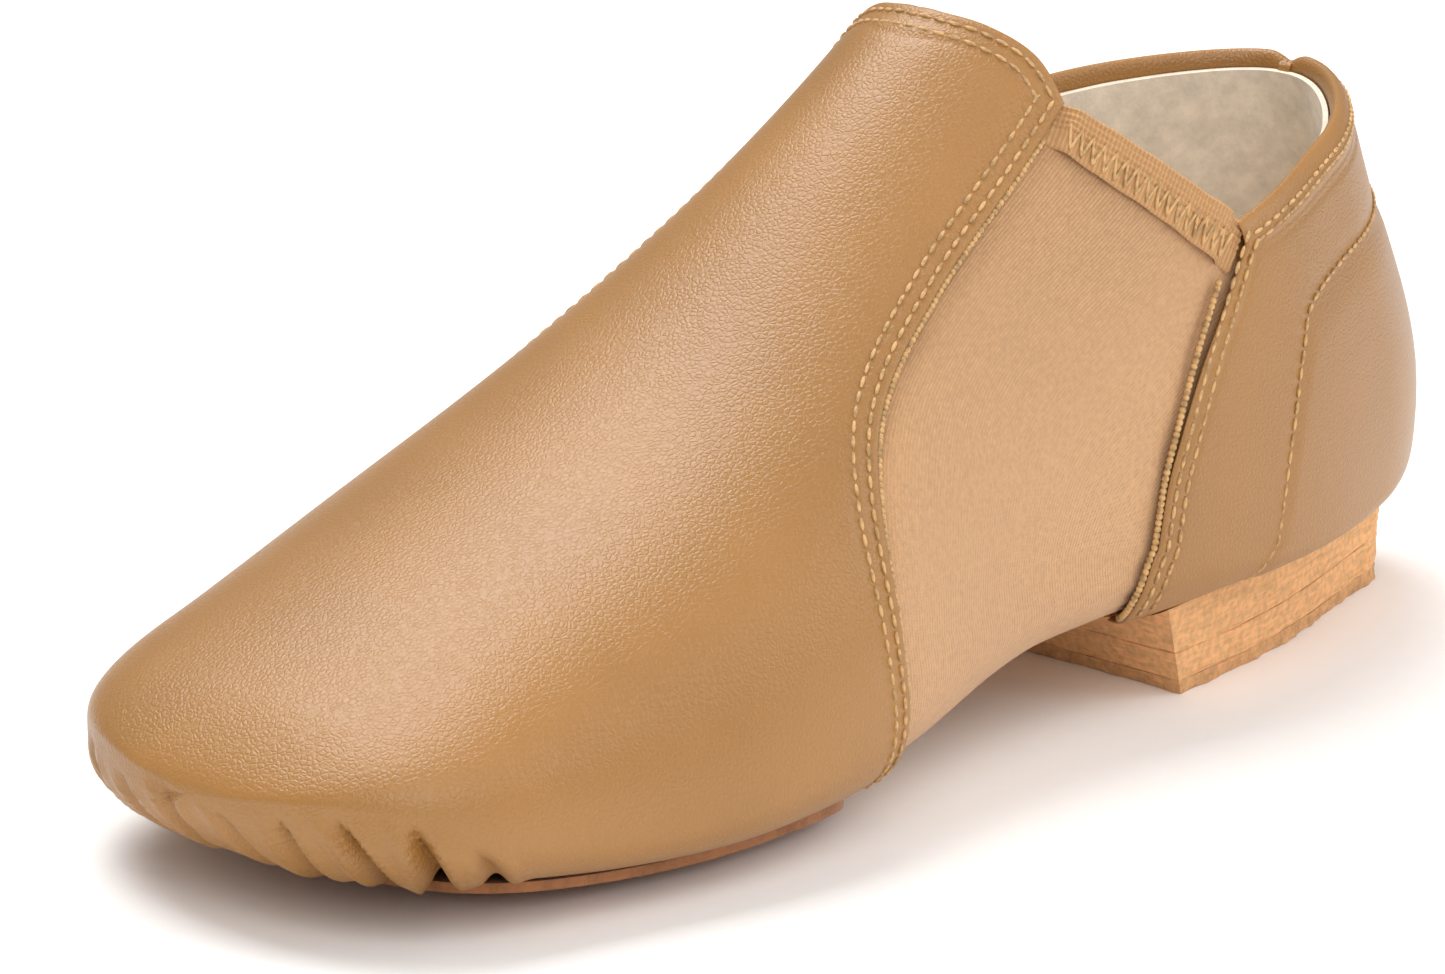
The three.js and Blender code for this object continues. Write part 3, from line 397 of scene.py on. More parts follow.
def closed_rings(name, rings):
    """A closed solid through rings of points; the first and last rings shrink to their middles."""
    looped = np.concatenate((rings, rings[:, :1]), axis=1)
    ends = looped[[0, -1]].mean(axis=1, keepdims=True).repeat(looped.shape[1], axis=1)
    piece = grid_piece(name, np.concatenate((ends[:1], looped, ends[1:])))
    middle = looped.reshape(-1, 3).mean(axis=0)
    face_away(piece, lambda centres: centres - middle)
    return piece


def rolled(distance, reach=0.8, depth=0.45):
    """How far a cut or folded edge rolls down, by the distance from it in mm."""
    return -depth * (1 - np.sqrt(np.clip(1 - np.clip(1 - distance / reach, 0, 1) ** 2, 0, 1)))


def pressed(distance, rows, depth=0.16, width=0.6):
    """The shallow channel that each row of stitches presses into leather."""
    return -depth * sum(np.exp(-(((distance - row) / width) ** 2)) for row in rows)


def path_curve(name, points):
    """A 3-D curve object through a row of points."""
    data = bpy.data.curves.new(name, "CURVE")
    data.dimensions = "3D"
    line = data.splines.new("POLY")
    line.points.add(len(points) - 1)
    line.points.foreach_set("co", np.hstack((points, np.ones((len(points), 1)))).reshape(-1))
    curve = bpy.data.objects.new(name, data)
    bpy.context.collection.objects.link(curve)
    return curve


def resampled(points, step=0.0008):
    """The same row of points, evenly spaced by about step metres."""
    length = np.concatenate(([0], np.cumsum(np.linalg.norm(np.diff(points, axis=0), axis=1))))
    even = np.linspace(0, length[-1], max(2, int(length[-1] / step)))
    return np.stack([np.interp(even, length, points[:, k]) for k in range(3)], axis=-1)


def sewn_row(name, points, pitch, length, radius, flat=1.0):
    """One row of stitches: a stitch modelled once, repeated along the row and bent to it."""
    track = path_curve(name + "_track", resampled(points))
    deselect()
    bpy.ops.mesh.primitive_uv_sphere_add(segments=8, ring_count=6, radius=radius, location=(pitch / 2, 0, 0))
    piece = bpy.context.object
    piece.name = piece.data.name = name
    bpy.ops.object.mode_set(mode="EDIT")
    bpy.ops.mesh.select_all(action="SELECT")
    bpy.ops.transform.resize(value=(length / 2 / radius, 1, flat), center_override=(pitch / 2, 0, 0))
    bpy.ops.object.mode_set(mode="OBJECT")
    bpy.ops.object.transform_apply(location=True, rotation=True, scale=True)
    repeat = piece.modifiers.new("repeat", "ARRAY")
    repeat.fit_type = "FIT_CURVE"
    repeat.curve = track
    repeat.use_relative_offset = False
    repeat.use_constant_offset = True
    repeat.constant_offset_displace = (pitch, 0, 0)
    bend = piece.modifiers.new("bend", "CURVE")
    bend.object = track
    bpy.context.view_layer.update()
    apply_modifiers(piece)
    bpy.data.objects.remove(track)
    return piece


def laid_thread(name, points, radius):
    """A plain thread laid along a row of points, as a closed tube."""
    curve = path_curve(name, points)
    curve.data.bevel_depth = radius
    curve.data.bevel_resolution = 2
    curve.data.use_fill_caps = True
    deselect()
    curve.select_set(True)
    bpy.context.view_layer.objects.active = curve
    bpy.ops.object.convert(target="MESH")
    return bpy.context.object


# ---------------------------------------------------------------- materials


def linear(code):
    """Linear RGBA from an sRGB hex code."""
    value = np.array([int(code[k : k + 2], 16) for k in (1, 3, 5)]) / 255
    value = np.where(value <= 0.04045, value / 12.92, ((value + 0.055) / 1.055) ** 2.4)
    return (*map(float, value), 1.0)


def shade(colour, factor):
    """The same colour, darker or lighter."""
    return (*(min(1.0, c * factor) for c in colour[:3]), 1.0)


def tint(name):
    return (*getattr(bpy.context.scene.shoe_colours, name), 1.0)


def size(name):
    return getattr(bpy.context.scene.shoe_sizes, name)


def give_inputs(tree, node, inputs):
    """Gives each of a node's inputs its value, or links it when the value is a socket."""
    for key, value in dict(inputs).items():
        if isinstance(value, bpy.types.NodeSocket):
            tree.links.new(value, node.inputs[key])
        else:
            node.inputs[key].default_value = value


def add_node(tree, kind, inputs=(), **settings):
    """Adds a node with its settings and inputs."""
    made = tree.nodes.new(kind)
    for key, value in settings.items():
        setattr(made, key, value)
    give_inputs(tree, made, inputs)
    return made


def new_material(name):
    """A material with its node tree, and the piece's own coordinates."""
    material = bpy.data.materials.new(name)
    material.use_nodes = True
    return material, material.node_tree, add_node(material.node_tree, "ShaderNodeTexCoord").outputs


def dress(material, pattern, colour, tones, inputs, limits=(0.35, 0.65), relief=None):
    """Colours a material by a pattern, and gives its shader a relief and its inputs.

    tones are the factors on the colour at the pattern's lower and upper limit. relief is the relief's own
    pattern, its strength and its depth in metres.
    """
    tree = material.node_tree
    ramp = add_node(tree, "ShaderNodeValToRGB", {"Fac": pattern})
    for stop, tone, limit in zip(ramp.color_ramp.elements, tones, limits):
        stop.position = limit
        stop.color = shade(colour, tone)
    inputs = {"Base Color": ramp.outputs["Color"], **inputs}
    if relief:
        height, strength, depth = relief
        bump = add_node(tree, "ShaderNodeBump", {"Height": height, "Strength": strength, "Distance": depth})
        inputs["Normal"] = bump.outputs["Normal"]
    give_inputs(tree, tree.nodes["Principled BSDF"], inputs)
    return material


def made_once(build):
    """Keeps one copy of the material that a builder makes."""
    kept = []

    def get():
        if not kept:
            kept.append(build())
        return kept[0]

    return get


@made_once
def glazed_kid_leather():
    # Chrome-tanned kidskin with a glazed finish: a satin sheen over a fine pebble grain of under 1 mm.
    material, tree, place = new_material("Glazed kid leather, fine grain")
    cloud = add_node(tree, "ShaderNodeTexNoise", {
        "Vector": place["Object"], "Scale": 28, "Detail": 3, "Roughness": 0.5})
    pebble = add_node(tree, "ShaderNodeTexVoronoi", {
        "Vector": place["Object"], "Scale": 1250, "Randomness": 1}, feature="DISTANCE_TO_EDGE")
    pores = add_node(tree, "ShaderNodeTexNoise", {
        "Vector": place["Object"], "Scale": 2600, "Detail": 2, "Roughness": 0.6})
    valley = add_node(tree, "ShaderNodeMapRange", {
        "Value": pebble.outputs["Distance"], "From Min": 0.0, "From Max": 0.25, "To Min": 0.0, "To Max": 1.0})
    grain = add_node(tree, "ShaderNodeMath", {0: valley.outputs["Result"], 1: pores.outputs["Fac"]},
                     operation="ADD")
    polish = add_node(tree, "ShaderNodeMapRange", {
        "Value": cloud.outputs["Fac"], "From Min": 0.3, "From Max": 0.7, "To Min": 0.34, "To Max": 0.39})
    return dress(
        material, cloud.outputs["Fac"], tint("leather"), (0.93, 1.05),
        {"Roughness": polish.outputs["Result"], "IOR": 1.5, "Specular IOR Level": 0.55},
        relief=(grain.outputs["Value"], 0.5, 0.00009))


@made_once
def scuba_jersey():
    # Neoprene faced with fine nylon jersey: matt, with knit wales 0.6 mm apart running up the foot.
    material, tree, place = new_material("Neoprene, nylon jersey face")
    wales = add_node(tree, "ShaderNodeTexWave", {
        "Vector": place["UV"], "Scale": 520, "Distortion": 0.5, "Detail": 1, "Detail Scale": 4},
        wave_type="BANDS", bands_direction="Y", wave_profile="SIN")
    loops = add_node(tree, "ShaderNodeTexWave", {
        "Vector": place["UV"], "Scale": 700, "Distortion": 1.2, "Detail": 1},
        wave_type="BANDS", bands_direction="X", wave_profile="SIN")
    knit = add_node(tree, "ShaderNodeMath", {0: wales.outputs["Fac"], 1: loops.outputs["Fac"]},
                    operation="MULTIPLY")
    cloud = add_node(tree, "ShaderNodeTexNoise", {"Vector": place["Object"], "Scale": 1300, "Detail": 2})
    level = add_node(tree, "ShaderNodeMath", {0: knit.outputs["Value"], 1: cloud.outputs["Fac"]},
                     operation="ADD")
    return dress(
        material, level.outputs["Value"], tint("neoprene"), (0.78, 1.1),
        {"Roughness": 0.85, "Sheen Weight": 0.25, "Sheen Roughness": 0.5},
        limits=(0.35, 1.1), relief=(knit.outputs["Value"], 0.8, 0.00015))


@made_once
def ribbed_elastic():
    # Woven elastic binding: rubber-cored cords under yarn, so it is matt with cross threads 0.7 mm apart.
    material, tree, place = new_material("Woven elastic, ribbed")
    picks = add_node(tree, "ShaderNodeTexWave", {
        "Vector": place["UV"], "Scale": 450, "Distortion": 1, "Detail": 1},
        wave_type="BANDS", bands_direction="Y")
    fuzz = add_node(tree, "ShaderNodeTexNoise", {"Vector": place["Object"], "Scale": 1800, "Detail": 2})
    level = add_node(tree, "ShaderNodeMath", {0: picks.outputs["Fac"], 1: fuzz.outputs["Fac"]},
                     operation="MULTIPLY")
    return dress(
        material, level.outputs["Value"], tint("elastic"), (0.8, 1.08), {"Roughness": 0.85},
        limits=(0.1, 0.6), relief=(level.outputs["Value"], 0.6, 0.00015))


@made_once
def spun_thread():
    # Polyester sewing thread: a slight gloss, and plies that catch the light in short pale and dark runs.
    material, tree, place = new_material("Polyester thread, twisted")
    ply = add_node(tree, "ShaderNodeTexNoise", {"Vector": place["Object"], "Scale": 900, "Detail": 2})
    return dress(
        material, ply.outputs["Fac"], tint("thread"), (0.62, 1.1), {"Roughness": 0.6},
        limits=(0.36, 0.58), relief=(ply.outputs["Fac"], 0.5, 0.0001))


@made_once
def split_suede():
    # Split suede, buffed: matt and fibrous, darker where the nap lies over.
    material, tree, place = new_material("Split suede, buffed")
    nap = add_node(tree, "ShaderNodeTexNoise", {
        "Vector": place["Object"], "Scale": 220, "Detail": 6, "Roughness": 0.7})
    fibres = add_node(tree, "ShaderNodeTexNoise", {
        "Vector": place["Object"], "Scale": 2200, "Detail": 3, "Roughness": 0.7})
    return dress(
        material, nap.outputs["Fac"], tint("suede"), (0.7, 1.15),
        {"Roughness": 0.95, "Sheen Weight": 0.35}, relief=(fibres.outputs["Fac"], 0.7, 0.0003))


@made_once
def split_suede_pale():
    # The heel's suede top piece: the same split as the sole, cut pale and frayed.
    material, tree, place = new_material("Split suede, pale")
    nap = add_node(tree, "ShaderNodeTexNoise", {
        "Vector": place["Object"], "Scale": 500, "Detail": 6, "Roughness": 0.75})
    return dress(
        material, nap.outputs["Fac"], shade(tint("heel"), 0.97), (0.68, 1.12), {"Roughness": 0.95},
        relief=(nap.outputs["Fac"], 0.9, 0.0006))


@made_once
def stacked_leather():
    # Heel lifts of vegetable-tanned leather, cut and sanded: fibres lie flat, in lines about 0.7 mm apart.
    material, tree, place = new_material("Stacked leather, sanded edge")
    stretched = add_node(tree, "ShaderNodeMapping", {"Vector": place["Object"], "Scale": (0.2, 0.2, 2)})
    lines = add_node(tree, "ShaderNodeTexNoise", {
        "Vector": stretched.outputs["Vector"], "Scale": 750, "Detail": 5, "Roughness": 0.6})
    fleck = add_node(tree, "ShaderNodeTexNoise", {"Vector": place["Object"], "Scale": 900, "Detail": 4})
    level = add_node(tree, "ShaderNodeMath", {0: lines.outputs["Fac"], 1: fleck.outputs["Fac"]},
                     operation="MULTIPLY")
    return dress(
        material, level.outputs["Value"], tint("heel"), (0.8, 1.15), {"Roughness": 0.95},
        limits=(0.14, 0.34), relief=(level.outputs["Value"], 0.9, 0.0006))


@made_once
def brushed_lining():
    # Brushed split-leather lining: pale, matt and short-napped, slightly mottled.
    material, tree, place = new_material("Brushed pigskin lining")
    mottle = add_node(tree, "ShaderNodeTexNoise", {
        "Vector": place["Object"], "Scale": 260, "Detail": 6, "Roughness": 0.7})
    nap = add_node(tree, "ShaderNodeTexNoise", {"Vector": place["Object"], "Scale": 1500, "Detail": 3})
    return dress(
        material, mottle.outputs["Fac"], tint("lining"), (0.84, 1.07),
        {"Roughness": 0.95, "Sheen Weight": 0.3}, relief=(nap.outputs["Fac"], 0.5, 0.0002))


@made_once
def cotton_tape():
    # Woven cotton tape, plain weave with threads 0.8 mm apart.
    material, tree, place = new_material("Cotton tape, plain weave")
    warp, weft = (
        add_node(tree, "ShaderNodeTexWave", {"Vector": place["Object"], "Scale": 400}, bands_direction=way)
        for way in "ZY")
    weave = add_node(tree, "ShaderNodeMath", {0: warp.outputs["Fac"], 1: weft.outputs["Fac"]},
                     operation="MULTIPLY")
    return dress(
        material, weave.outputs["Value"], linear("#CBB08C"), (0.8, 1), {"Roughness": 0.9}, limits=(0, 0.8))


@made_once
def pressed_board():
    # Cellulose insole board, calendered: flat, matt, with short grey-brown fibres.
    material, tree, place = new_material("Cellulose insole board")
    fibre = add_node(tree, "ShaderNodeTexNoise", {"Vector": place["Object"], "Scale": 700, "Detail": 6})
    return dress(material, fibre.outputs["Fac"], linear("#B09A78"), (0.8, 1.1), {"Roughness": 0.9})


@made_once
def wool_felt():
    # Needled felt filler: matt, with a loose tangle of fibres.
    material, tree, place = new_material("Needled felt")
    tangle = add_node(tree, "ShaderNodeTexNoise", {
        "Vector": place["Object"], "Scale": 900, "Detail": 6, "Distortion": 2})
    return dress(material, tangle.outputs["Fac"], linear("#8E8273"), (0.7, 1.15), {"Roughness": 1.0})


@made_once
def latex_foam():
    # Open-cell latex foam, with cells under 1 mm.
    material, tree, place = new_material("Latex foam, open cell")
    cells = add_node(tree, "ShaderNodeTexVoronoi", {"Vector": place["Object"], "Scale": 1400})
    return dress(
        material, cells.outputs["Distance"], linear("#E6DCC8"), (0.75, 1), {"Roughness": 0.95},
        limits=(0.1, 0.5))


@made_once
def bright_steel():
    # Bright drawn steel nails: smooth shanks with faint draw marks.
    material, tree, place = new_material("Bright drawn steel")
    marks = add_node(tree, "ShaderNodeTexNoise", {"Vector": place["Object"], "Scale": 1200, "Detail": 2})
    polish = add_node(tree, "ShaderNodeMapRange", {
        "Value": marks.outputs["Fac"], "To Min": 0.25, "To Max": 0.45})
    give_inputs(tree, tree.nodes["Principled BSDF"], {
        "Base Color": linear("#9A9A98"), "Metallic": 1.0, "Roughness": polish.outputs["Result"]})
    return material


@made_once
def studio_floor():
    # Matt white paper sweep, with a barely visible tooth.
    material, tree, place = new_material("White paper sweep")
    tooth = add_node(tree, "ShaderNodeTexNoise", {"Vector": place["Object"], "Scale": 300, "Detail": 3})
    return dress(
        material, tooth.outputs["Fac"], linear("#FFFFFF"), (0.99, 1),
        {"Roughness": 0.9, "Specular IOR Level": 0.1})


# ---------------------------------------------------------------- vamp

VAMP_COLUMNS = 300                  # round the whole foot
VAMP_FAN_ROWS = 96                  # from the toe tip to BORDER in front of the rear edge
BORDER = 6.0
TONGUE_SHARE = 0.2                  # share of the half ring that lies on the tongue's end
PLEATS = (
    # degrees round the toe from the middle, depth and height as shares of their sizes
    (-54, 0.6, 0.9), (-42, 0.8, 0.8), (-30, 0.6, 1), (-17.5, 0.55, 0.8), (-5.5, 0.6, 0.95), (7.5, 0.5, 0.75),
    (18.8, 0.75, 0.9), (30.8, 1.15, 1), (42, 1.3, 1.05), (52, 0.7, 0.8),
)
PLEAT_CENTRE = (0.5, 47)            # x and s of the point that the pleats fan from


def vamp_edge(half):
    """The vamp's rear edge by its share of a half ring, from the bottom middle to the top middle."""
    low_s, low_phi = vamp_side_edge(half / (1 - TONGUE_SHARE))
    high_s, high_phi = tongue_edge((half - 1 + TONGUE_SHARE) / TONGUE_SHARE)
    below = half <= 1 - TONGUE_SHARE
    return np.where(below, low_s, high_s), np.where(below, low_phi, high_phi)


def inside_edge(s, phi, margin):
    """Moves places on the vamp's edge forward by margin, and up where the edge runs along the foot."""
    return s - margin, phi + margin * np.sin(np.radians(2 * np.clip(phi, 0, 90)))


def vamp_grid(border_rows, start=0.0):
    """s, phi, side and margin from the rear edge, in rows from the toe tip and columns round the foot."""
    ring = np.linspace(0, 2, VAMP_COLUMNS + 1)
    edge_s, edge_phi = vamp_edge(np.where(ring <= 1, ring, 2 - ring))
    side = np.where(ring <= 1, 1.0, -1.0)
    near_s, near_phi = inside_edge(edge_s, edge_phi, border_rows[0])
    share = np.linspace(start, 1, VAMP_FAN_ROWS)[:, None] ** 1.35
    fan_s, fan_phi = near_s * share, np.broadcast_to(near_phi, (VAMP_FAN_ROWS, len(ring)))
    margins = np.array(border_rows[1:])[:, None]
    rim_s, rim_phi = inside_edge(edge_s, edge_phi, margins)
    margin = np.vstack((border_rows[0] + near_s * (1 - share), margins * np.ones(len(ring))))
    s, phi = np.vstack((fan_s, rim_s)), np.vstack((fan_phi, rim_phi))
    return s, phi, side * np.ones_like(s), margin


def pleats(points):
    """Depth of the lasting pleats that gather the toe's leather in under the sole, for points in metres."""
    x, s, z = np.moveaxis(points / MM - SHIFT, -1, 0)
    out_x, out_s = x - PLEAT_CENTRE[0], PLEAT_CENTRE[1] - s
    angle, radius = np.degrees(np.arctan2(out_x, out_s)), np.hypot(out_x, out_s)
    above = z - bottom_line(np.clip(s, 0, LENGTH))
    depth = np.zeros_like(x)
    for k, (middle, strength, height) in enumerate(PLEATS):
        slant = -0.8 * (above - 6) * (1 if k % 2 else 0.6)
        across = np.radians(angle - middle - slant) * radius / (size("pleat_width") / MM)
        narrowing = 1 + 0.09 * np.clip(above - 5, 0, 9)
        fold = np.exp(-((across * narrowing) ** 2)) - 0.38 * np.exp(-((np.abs(across) - 2) ** 2) / 0.9)
        tall = size("pleat_height") / MM * height
        depth = depth + strength * fold * (1 - smooth(above, tall * 0.55, tall))
    return depth * (size("pleat_depth") / MM) * (out_s > 0)


def make_vamp():
    rows = (BORDER, 5.4, 4.8, 4.4, 4.1, 3.8, 3.5, 3.2, 2.8, 2.4, 2.1, 1.8, 1.6, 1.4, 1.1, 0.8, 0.55, 0.35,
            0.18, 0.06, 0)
    s, phi, side, margin = vamp_grid(rows)
    offset = rolled(margin * 0.85) + pressed(margin * 0.85, STITCH_ROWS)
    offset = offset - pleats(on_last(s, phi, side))
    piece = grid_piece("vamp_upper", on_last(s, phi, side, offset))
    face_away(piece, from_core)
    give_wall(piece, size("leather"))
    return finish_piece(piece, glazed_kid_leather(), "leather", "vamp")


def make_vamp_lining():
    rows = (12.0, 11.6, 11.2, 11)
    s, phi, side, _ = vamp_grid(rows, start=0.05)
    offset = VAMP_LINING_AT - pleats(on_last(s, phi, side))
    piece = grid_piece("vamp_lining_cloth", on_last(s, phi, side, offset))
    face_away(piece, from_core)
    give_wall(piece, VAMP_LINING_WALL)
    return finish_piece(piece, brushed_lining(), "lining", "vamp_lining")


# ---------------------------------------------------------------- arch gore and elastic bands


def make_gore():
    """The stretch panel under and round the arch, tucked under both leather edges."""
    u = (crowded(90, 0.5) * (1 + 2 * GORE_TUCK) - GORE_TUCK)[:, None]
    ring = np.linspace(-1, 1, 181)[None, :]
    v, side = np.abs(ring), np.where(ring >= 0, 1.0, -1.0)
    front_s, front_phi = vamp_side_edge(v * VAMP_SHARE_AT_BAND)
    rear_s, rear_phi = arch_rear(v)
    sag = GORE_SAG * np.clip(u * (1 - u), 0, 1) * v**2
    s, phi = mix(front_s, rear_s, u), np.maximum(mix(front_phi, rear_phi, u) + sag, -90)
    span = np.hypot(rear_s - front_s, (rear_phi - front_phi) * PHI_MM)
    from_front, from_rear = np.clip(u, 0, 1) * span, np.clip(1 - u, 0, 1) * span
    waves = np.sin(ring * 62 + 1.3 * np.sin(ring * 17))
    pucker = GORE_PUCKER * waves * (np.exp(-from_front / 3) + np.exp(-from_rear / 3))
    swell = GORE_SWELL * (1 - np.exp(-np.minimum(from_front, from_rear) / 5))
    piece = grid_piece("arch_gore_knit", on_last(s, phi, side * np.ones_like(s), GORE_AT + pucker + swell))
    face_away(piece, from_core)
    give_wall(piece, GORE_WALL)
    return finish_piece(piece, scuba_jersey(), "neoprene", "arch_gore")


def band_places(along, rise):
    """Places on the elastic band: along it, and from its lower edge (0) to its fold (1).

    Past its seams' ends it runs straight on.
    """
    inside = np.clip(along, 0.02, 0.98)
    here = band_spot(inside, rise)
    after = band_spot(inside + 0.01, rise)
    return tuple(a + (b - a) * (along - inside) / 0.01 for a, b in zip(here, after))


def band_spot(along, rise):
    high_s, high_phi = band_top(along)
    low_s, low_phi = band_bottom(along)
    return mix(low_s, high_s, rise), mix(low_phi, high_phi, rise)


def make_band(name, side):
    """An elastic binding folded over the gore's top edge, ribbed towards its fold."""
    along = mix(*BAND_SPAN, np.linspace(0, 1, 100))[:, None]
    tucked = BAND_TUCK * (smooth(-along, -0.09, -0.01) + smooth(along, 0.92, 0.99))
    up = np.linspace(0, 1, 45)
    turn = np.linspace(0, math.pi, 11)[1:-1]
    middle, reach = (BAND_OUTER_AT + BAND_INNER_AT) / 2, (BAND_OUTER_AT - BAND_INNER_AT) / 2
    ribs = BAND_RIB * np.cos((up - 0.42) / 0.58 * 2 * math.pi * 4) * smooth(up, 0.42, 0.5)
    sunk = BAND_SINK * smooth(0.4 - up, 0, 0.2)
    rise = np.concatenate((up, 1 + 0.12 * np.sin(turn), up[::-2]))[None, :]
    offset = np.concatenate((
        BAND_OUTER_AT + ribs + sunk + rolled(up * 7, 0.8, 0.5), middle + reach * np.cos(turn),
        np.full(len(up[::-2]), BAND_INNER_AT)))[None, :]
    s, phi = band_places(along, rise)
    tucked = tucked * smooth(offset, middle - 0.5, middle + 0.5)
    points = on_last(s, phi, side * np.ones_like(s), offset + tucked + 0.12 * np.sin(along * 31))
    piece = grid_piece(f"elastic_binding_{name}", points)
    rim = on_last(*band_places(along, 0.9), side * np.ones_like(along), middle)[:, 0]
    face_away(piece, lambda centres: centres - rim[np.abs(rim[:, None, 1] - centres[:, 1]).argmin(0)])
    give_wall(piece, BAND_WALL)
    return finish_piece(piece, ribbed_elastic(), "elastic", f"elastic_band_{name}")


def make_zigzag(name, side):
    """The zigzag stitch that holds the band."""
    count = size("zigzag_stitches")
    stops = np.arange(count * 6 + 1) / 6
    wave = np.abs((stops % 2) - 1)
    s, phi = band_places(mix(*ZIGZAG_SPAN, stops / count), mix(*ZIGZAG_RISE, wave))
    points = on_last(s, phi, side * np.ones_like(s), BAND_OUTER_AT + 0.12)
    thread = laid_thread(f"zigzag_stitch_{name}", points, size("thread_radius") * 0.8)
    finish_piece(thread, spun_thread(), "thread", f"band_zigzag_{name}")


# ---------------------------------------------------------------- quarters


def quarter_places(across, up):
    """Places on a quarter, from its front edge (0) to the back seam (1) and from its margin to the collar."""
    front_s, front_phi = quarter_front(up)
    s = front_s + (LENGTH - front_s) * np.sin(across**1.25 * math.pi / 2)
    rise = (front_phi - MARGIN_PHI) / (collar_phi(front_s) - MARGIN_PHI)
    return s, MARGIN_PHI + (collar_phi(s) - MARGIN_PHI) * np.minimum(1, rise)


def counter_puff(s, phi):
    """The stiff heel counter fills the leather out below its curved row of stitches."""
    line_s, line_phi = counter_stitch(np.linspace(0, 1, 200))
    order = np.argsort(line_s)
    limit = np.interp(s, line_s[order], line_phi[order])
    below = np.clip((limit - phi) * PHI_MM, -3, 30)
    behind = np.clip(s - 171, -3, 30)
    inside = np.minimum(below, behind)
    crease = COUNTER_CREASE * np.exp(-((inside / 0.7) ** 2)) * (behind > -2)
    return COUNTER_PUFF * smooth(inside, 0.1, 2.4) - crease


def make_quarter(name, side):
    """One quarter, with its collar folded over and turned down inside."""
    across, up = crowded(150, 0.86)[None, :], crowded(110, 0.8)[:, None]
    fold = size("collar_fold") / MM
    turn = np.linspace(0, math.pi, 13)[1:, None]
    inside = np.linspace(0, COLLAR_FLAP, 7)[1:, None]
    low_s, low_phi = quarter_places(across, up)
    rim_s, rim_phi = quarter_places(across, 1.0)
    low_phi = low_phi - fold / PHI_MM * smooth(up, 0.55, 1)
    climb = np.vstack((fold * (np.sin(turn) - 1), -fold - inside)) / PHI_MM
    s = np.vstack((low_s, np.repeat(rim_s, len(climb), 0)))
    phi = np.vstack((low_phi, rim_phi + climb))
    sink = np.vstack((fold * (np.cos(turn) - 1), 0.1 * inside - 2 * fold))
    depth = np.vstack((np.zeros_like(low_s), sink * np.ones_like(rim_s)))
    base = on_last(s, phi, side * np.ones_like(s))
    from_front = measured(base, 1)
    from_back = measured(base[:, ::-1], 1)[:, ::-1]
    outer = np.arange(len(s))[:, None] < len(up)
    from_top = measured(base[: len(up)][::-1], 0)[::-1] + fold
    from_top = np.vstack((from_top, np.repeat(from_top[-1:], len(climb), 0)))
    notch = BACK_NOTCH * np.exp(-((from_back / 2.2) ** 2)) * np.exp(-from_top / 5)
    worked = pressed(from_front, STITCH_ROWS) + pressed(from_top, COLLAR_ROWS) + counter_puff(s, phi)
    offset = depth + rolled(from_front) + rolled(from_back, 1.0, 0.6) + worked * outer
    points = on_last(s, phi, side * np.ones_like(s), offset)
    points[..., 2] -= notch * MM
    seam_x = (float(centre_x(LENGTH)) + SHIFT[0]) * MM
    points[..., 0] = side * np.maximum(side * (points[..., 0] - seam_x), 0.00012) + seam_x
    piece = grid_piece(f"quarter_leather_{name}", points)
    face_away(piece, from_core, len(up) * points.shape[1])
    give_wall(piece, size("leather"))
    return finish_piece(piece, glazed_kid_leather(), "leather", f"quarter_{name}")


def make_quarter_lining():
    """The brushed lining that wraps round the inside of the heel in one piece."""
    ring = np.linspace(-1, 1, 181)[None, :]
    up = 0.965 * crowded(80, 0.6)[:, None]
    s, phi = quarter_places(0.06 + 0.94 * (1 - np.abs(ring)), up)
    side = np.where(ring <= 0, 1.0, -1.0) * np.ones_like(s)
    soft = 0.12 * np.sin(s * 0.55 + phi * 0.3) * np.sin(phi * 0.21)
    piece = grid_piece("heel_lining_suede", on_last(s, phi, side, QUARTER_LINING_AT + soft))
    face_away(piece, from_core)
    give_wall(piece, QUARTER_LINING_WALL)
    return finish_piece(piece, brushed_lining(), "lining", "quarter_lining")


def make_topline_tape(name, side):
    """The tape between a quarter's leather and its lining, just below the collar's fold."""
    across, up = np.linspace(0.3, 0.8, 60)[None, :], np.linspace(0.84, 0.93, 10)[:, None]
    s, phi = quarter_places(across, up)
    piece = grid_piece(f"collar_tape_{name}", on_last(s, phi, side * np.ones_like(s), TAPE_AT))
    face_away(piece, from_core)
    give_wall(piece, TAPE_WALL)
    return finish_piece(piece, cotton_tape(), "tape", f"topline_tape_{name}")


# ---------------------------------------------------------------- stitching and edge cords


def beside(s, phi, side, inset, height):
    """A row of points at a distance inside a seam's line, at a height over the leather."""
    base = last_point(s, phi, side)
    run = np.gradient(base, axis=0)
    normal = last_normal(s, phi, side)
    inwards = np.cross(normal, run)
    inwards /= np.linalg.norm(inwards, axis=-1, keepdims=True)
    near = base + inwards * inset
    return settle_on_last(near, s, phi, side, height)


def settle_on_last(points, s, phi, side, height):
    """Finds the last's own places nearest to some points, by a few steps, and returns points over them."""
    for _ in range(3):
        move = points - last_point(s, phi, side)
        along = (last_point(s + 0.05, phi, side) - last_point(s - 0.05, phi, side)) / 0.1
        around = (last_point(s, phi + 0.1, side) - last_point(s, phi - 0.1, side)) / 0.2
        aa, bb, ab = (along * along).sum(-1), (around * around).sum(-1), (along * around).sum(-1)
        ma, mb = (move * along).sum(-1), (move * around).sum(-1)
        scale = aa * bb - ab * ab
        s = np.clip(s + (ma * bb - mb * ab) / scale, 0.1, LENGTH - 0.1)
        phi = np.clip(phi + (mb * aa - ma * ab) / scale, -89.5, 89.5)
    return on_last(s, phi, side, height)


def there_and_back(s, phi):
    """s, phi and side for a row on the little-toe side that returns along the other side."""
    count = len(s)
    return (np.concatenate((s, s[::-1])), np.concatenate((phi, phi[::-1])),
            np.concatenate((np.ones(count), -np.ones(count))))


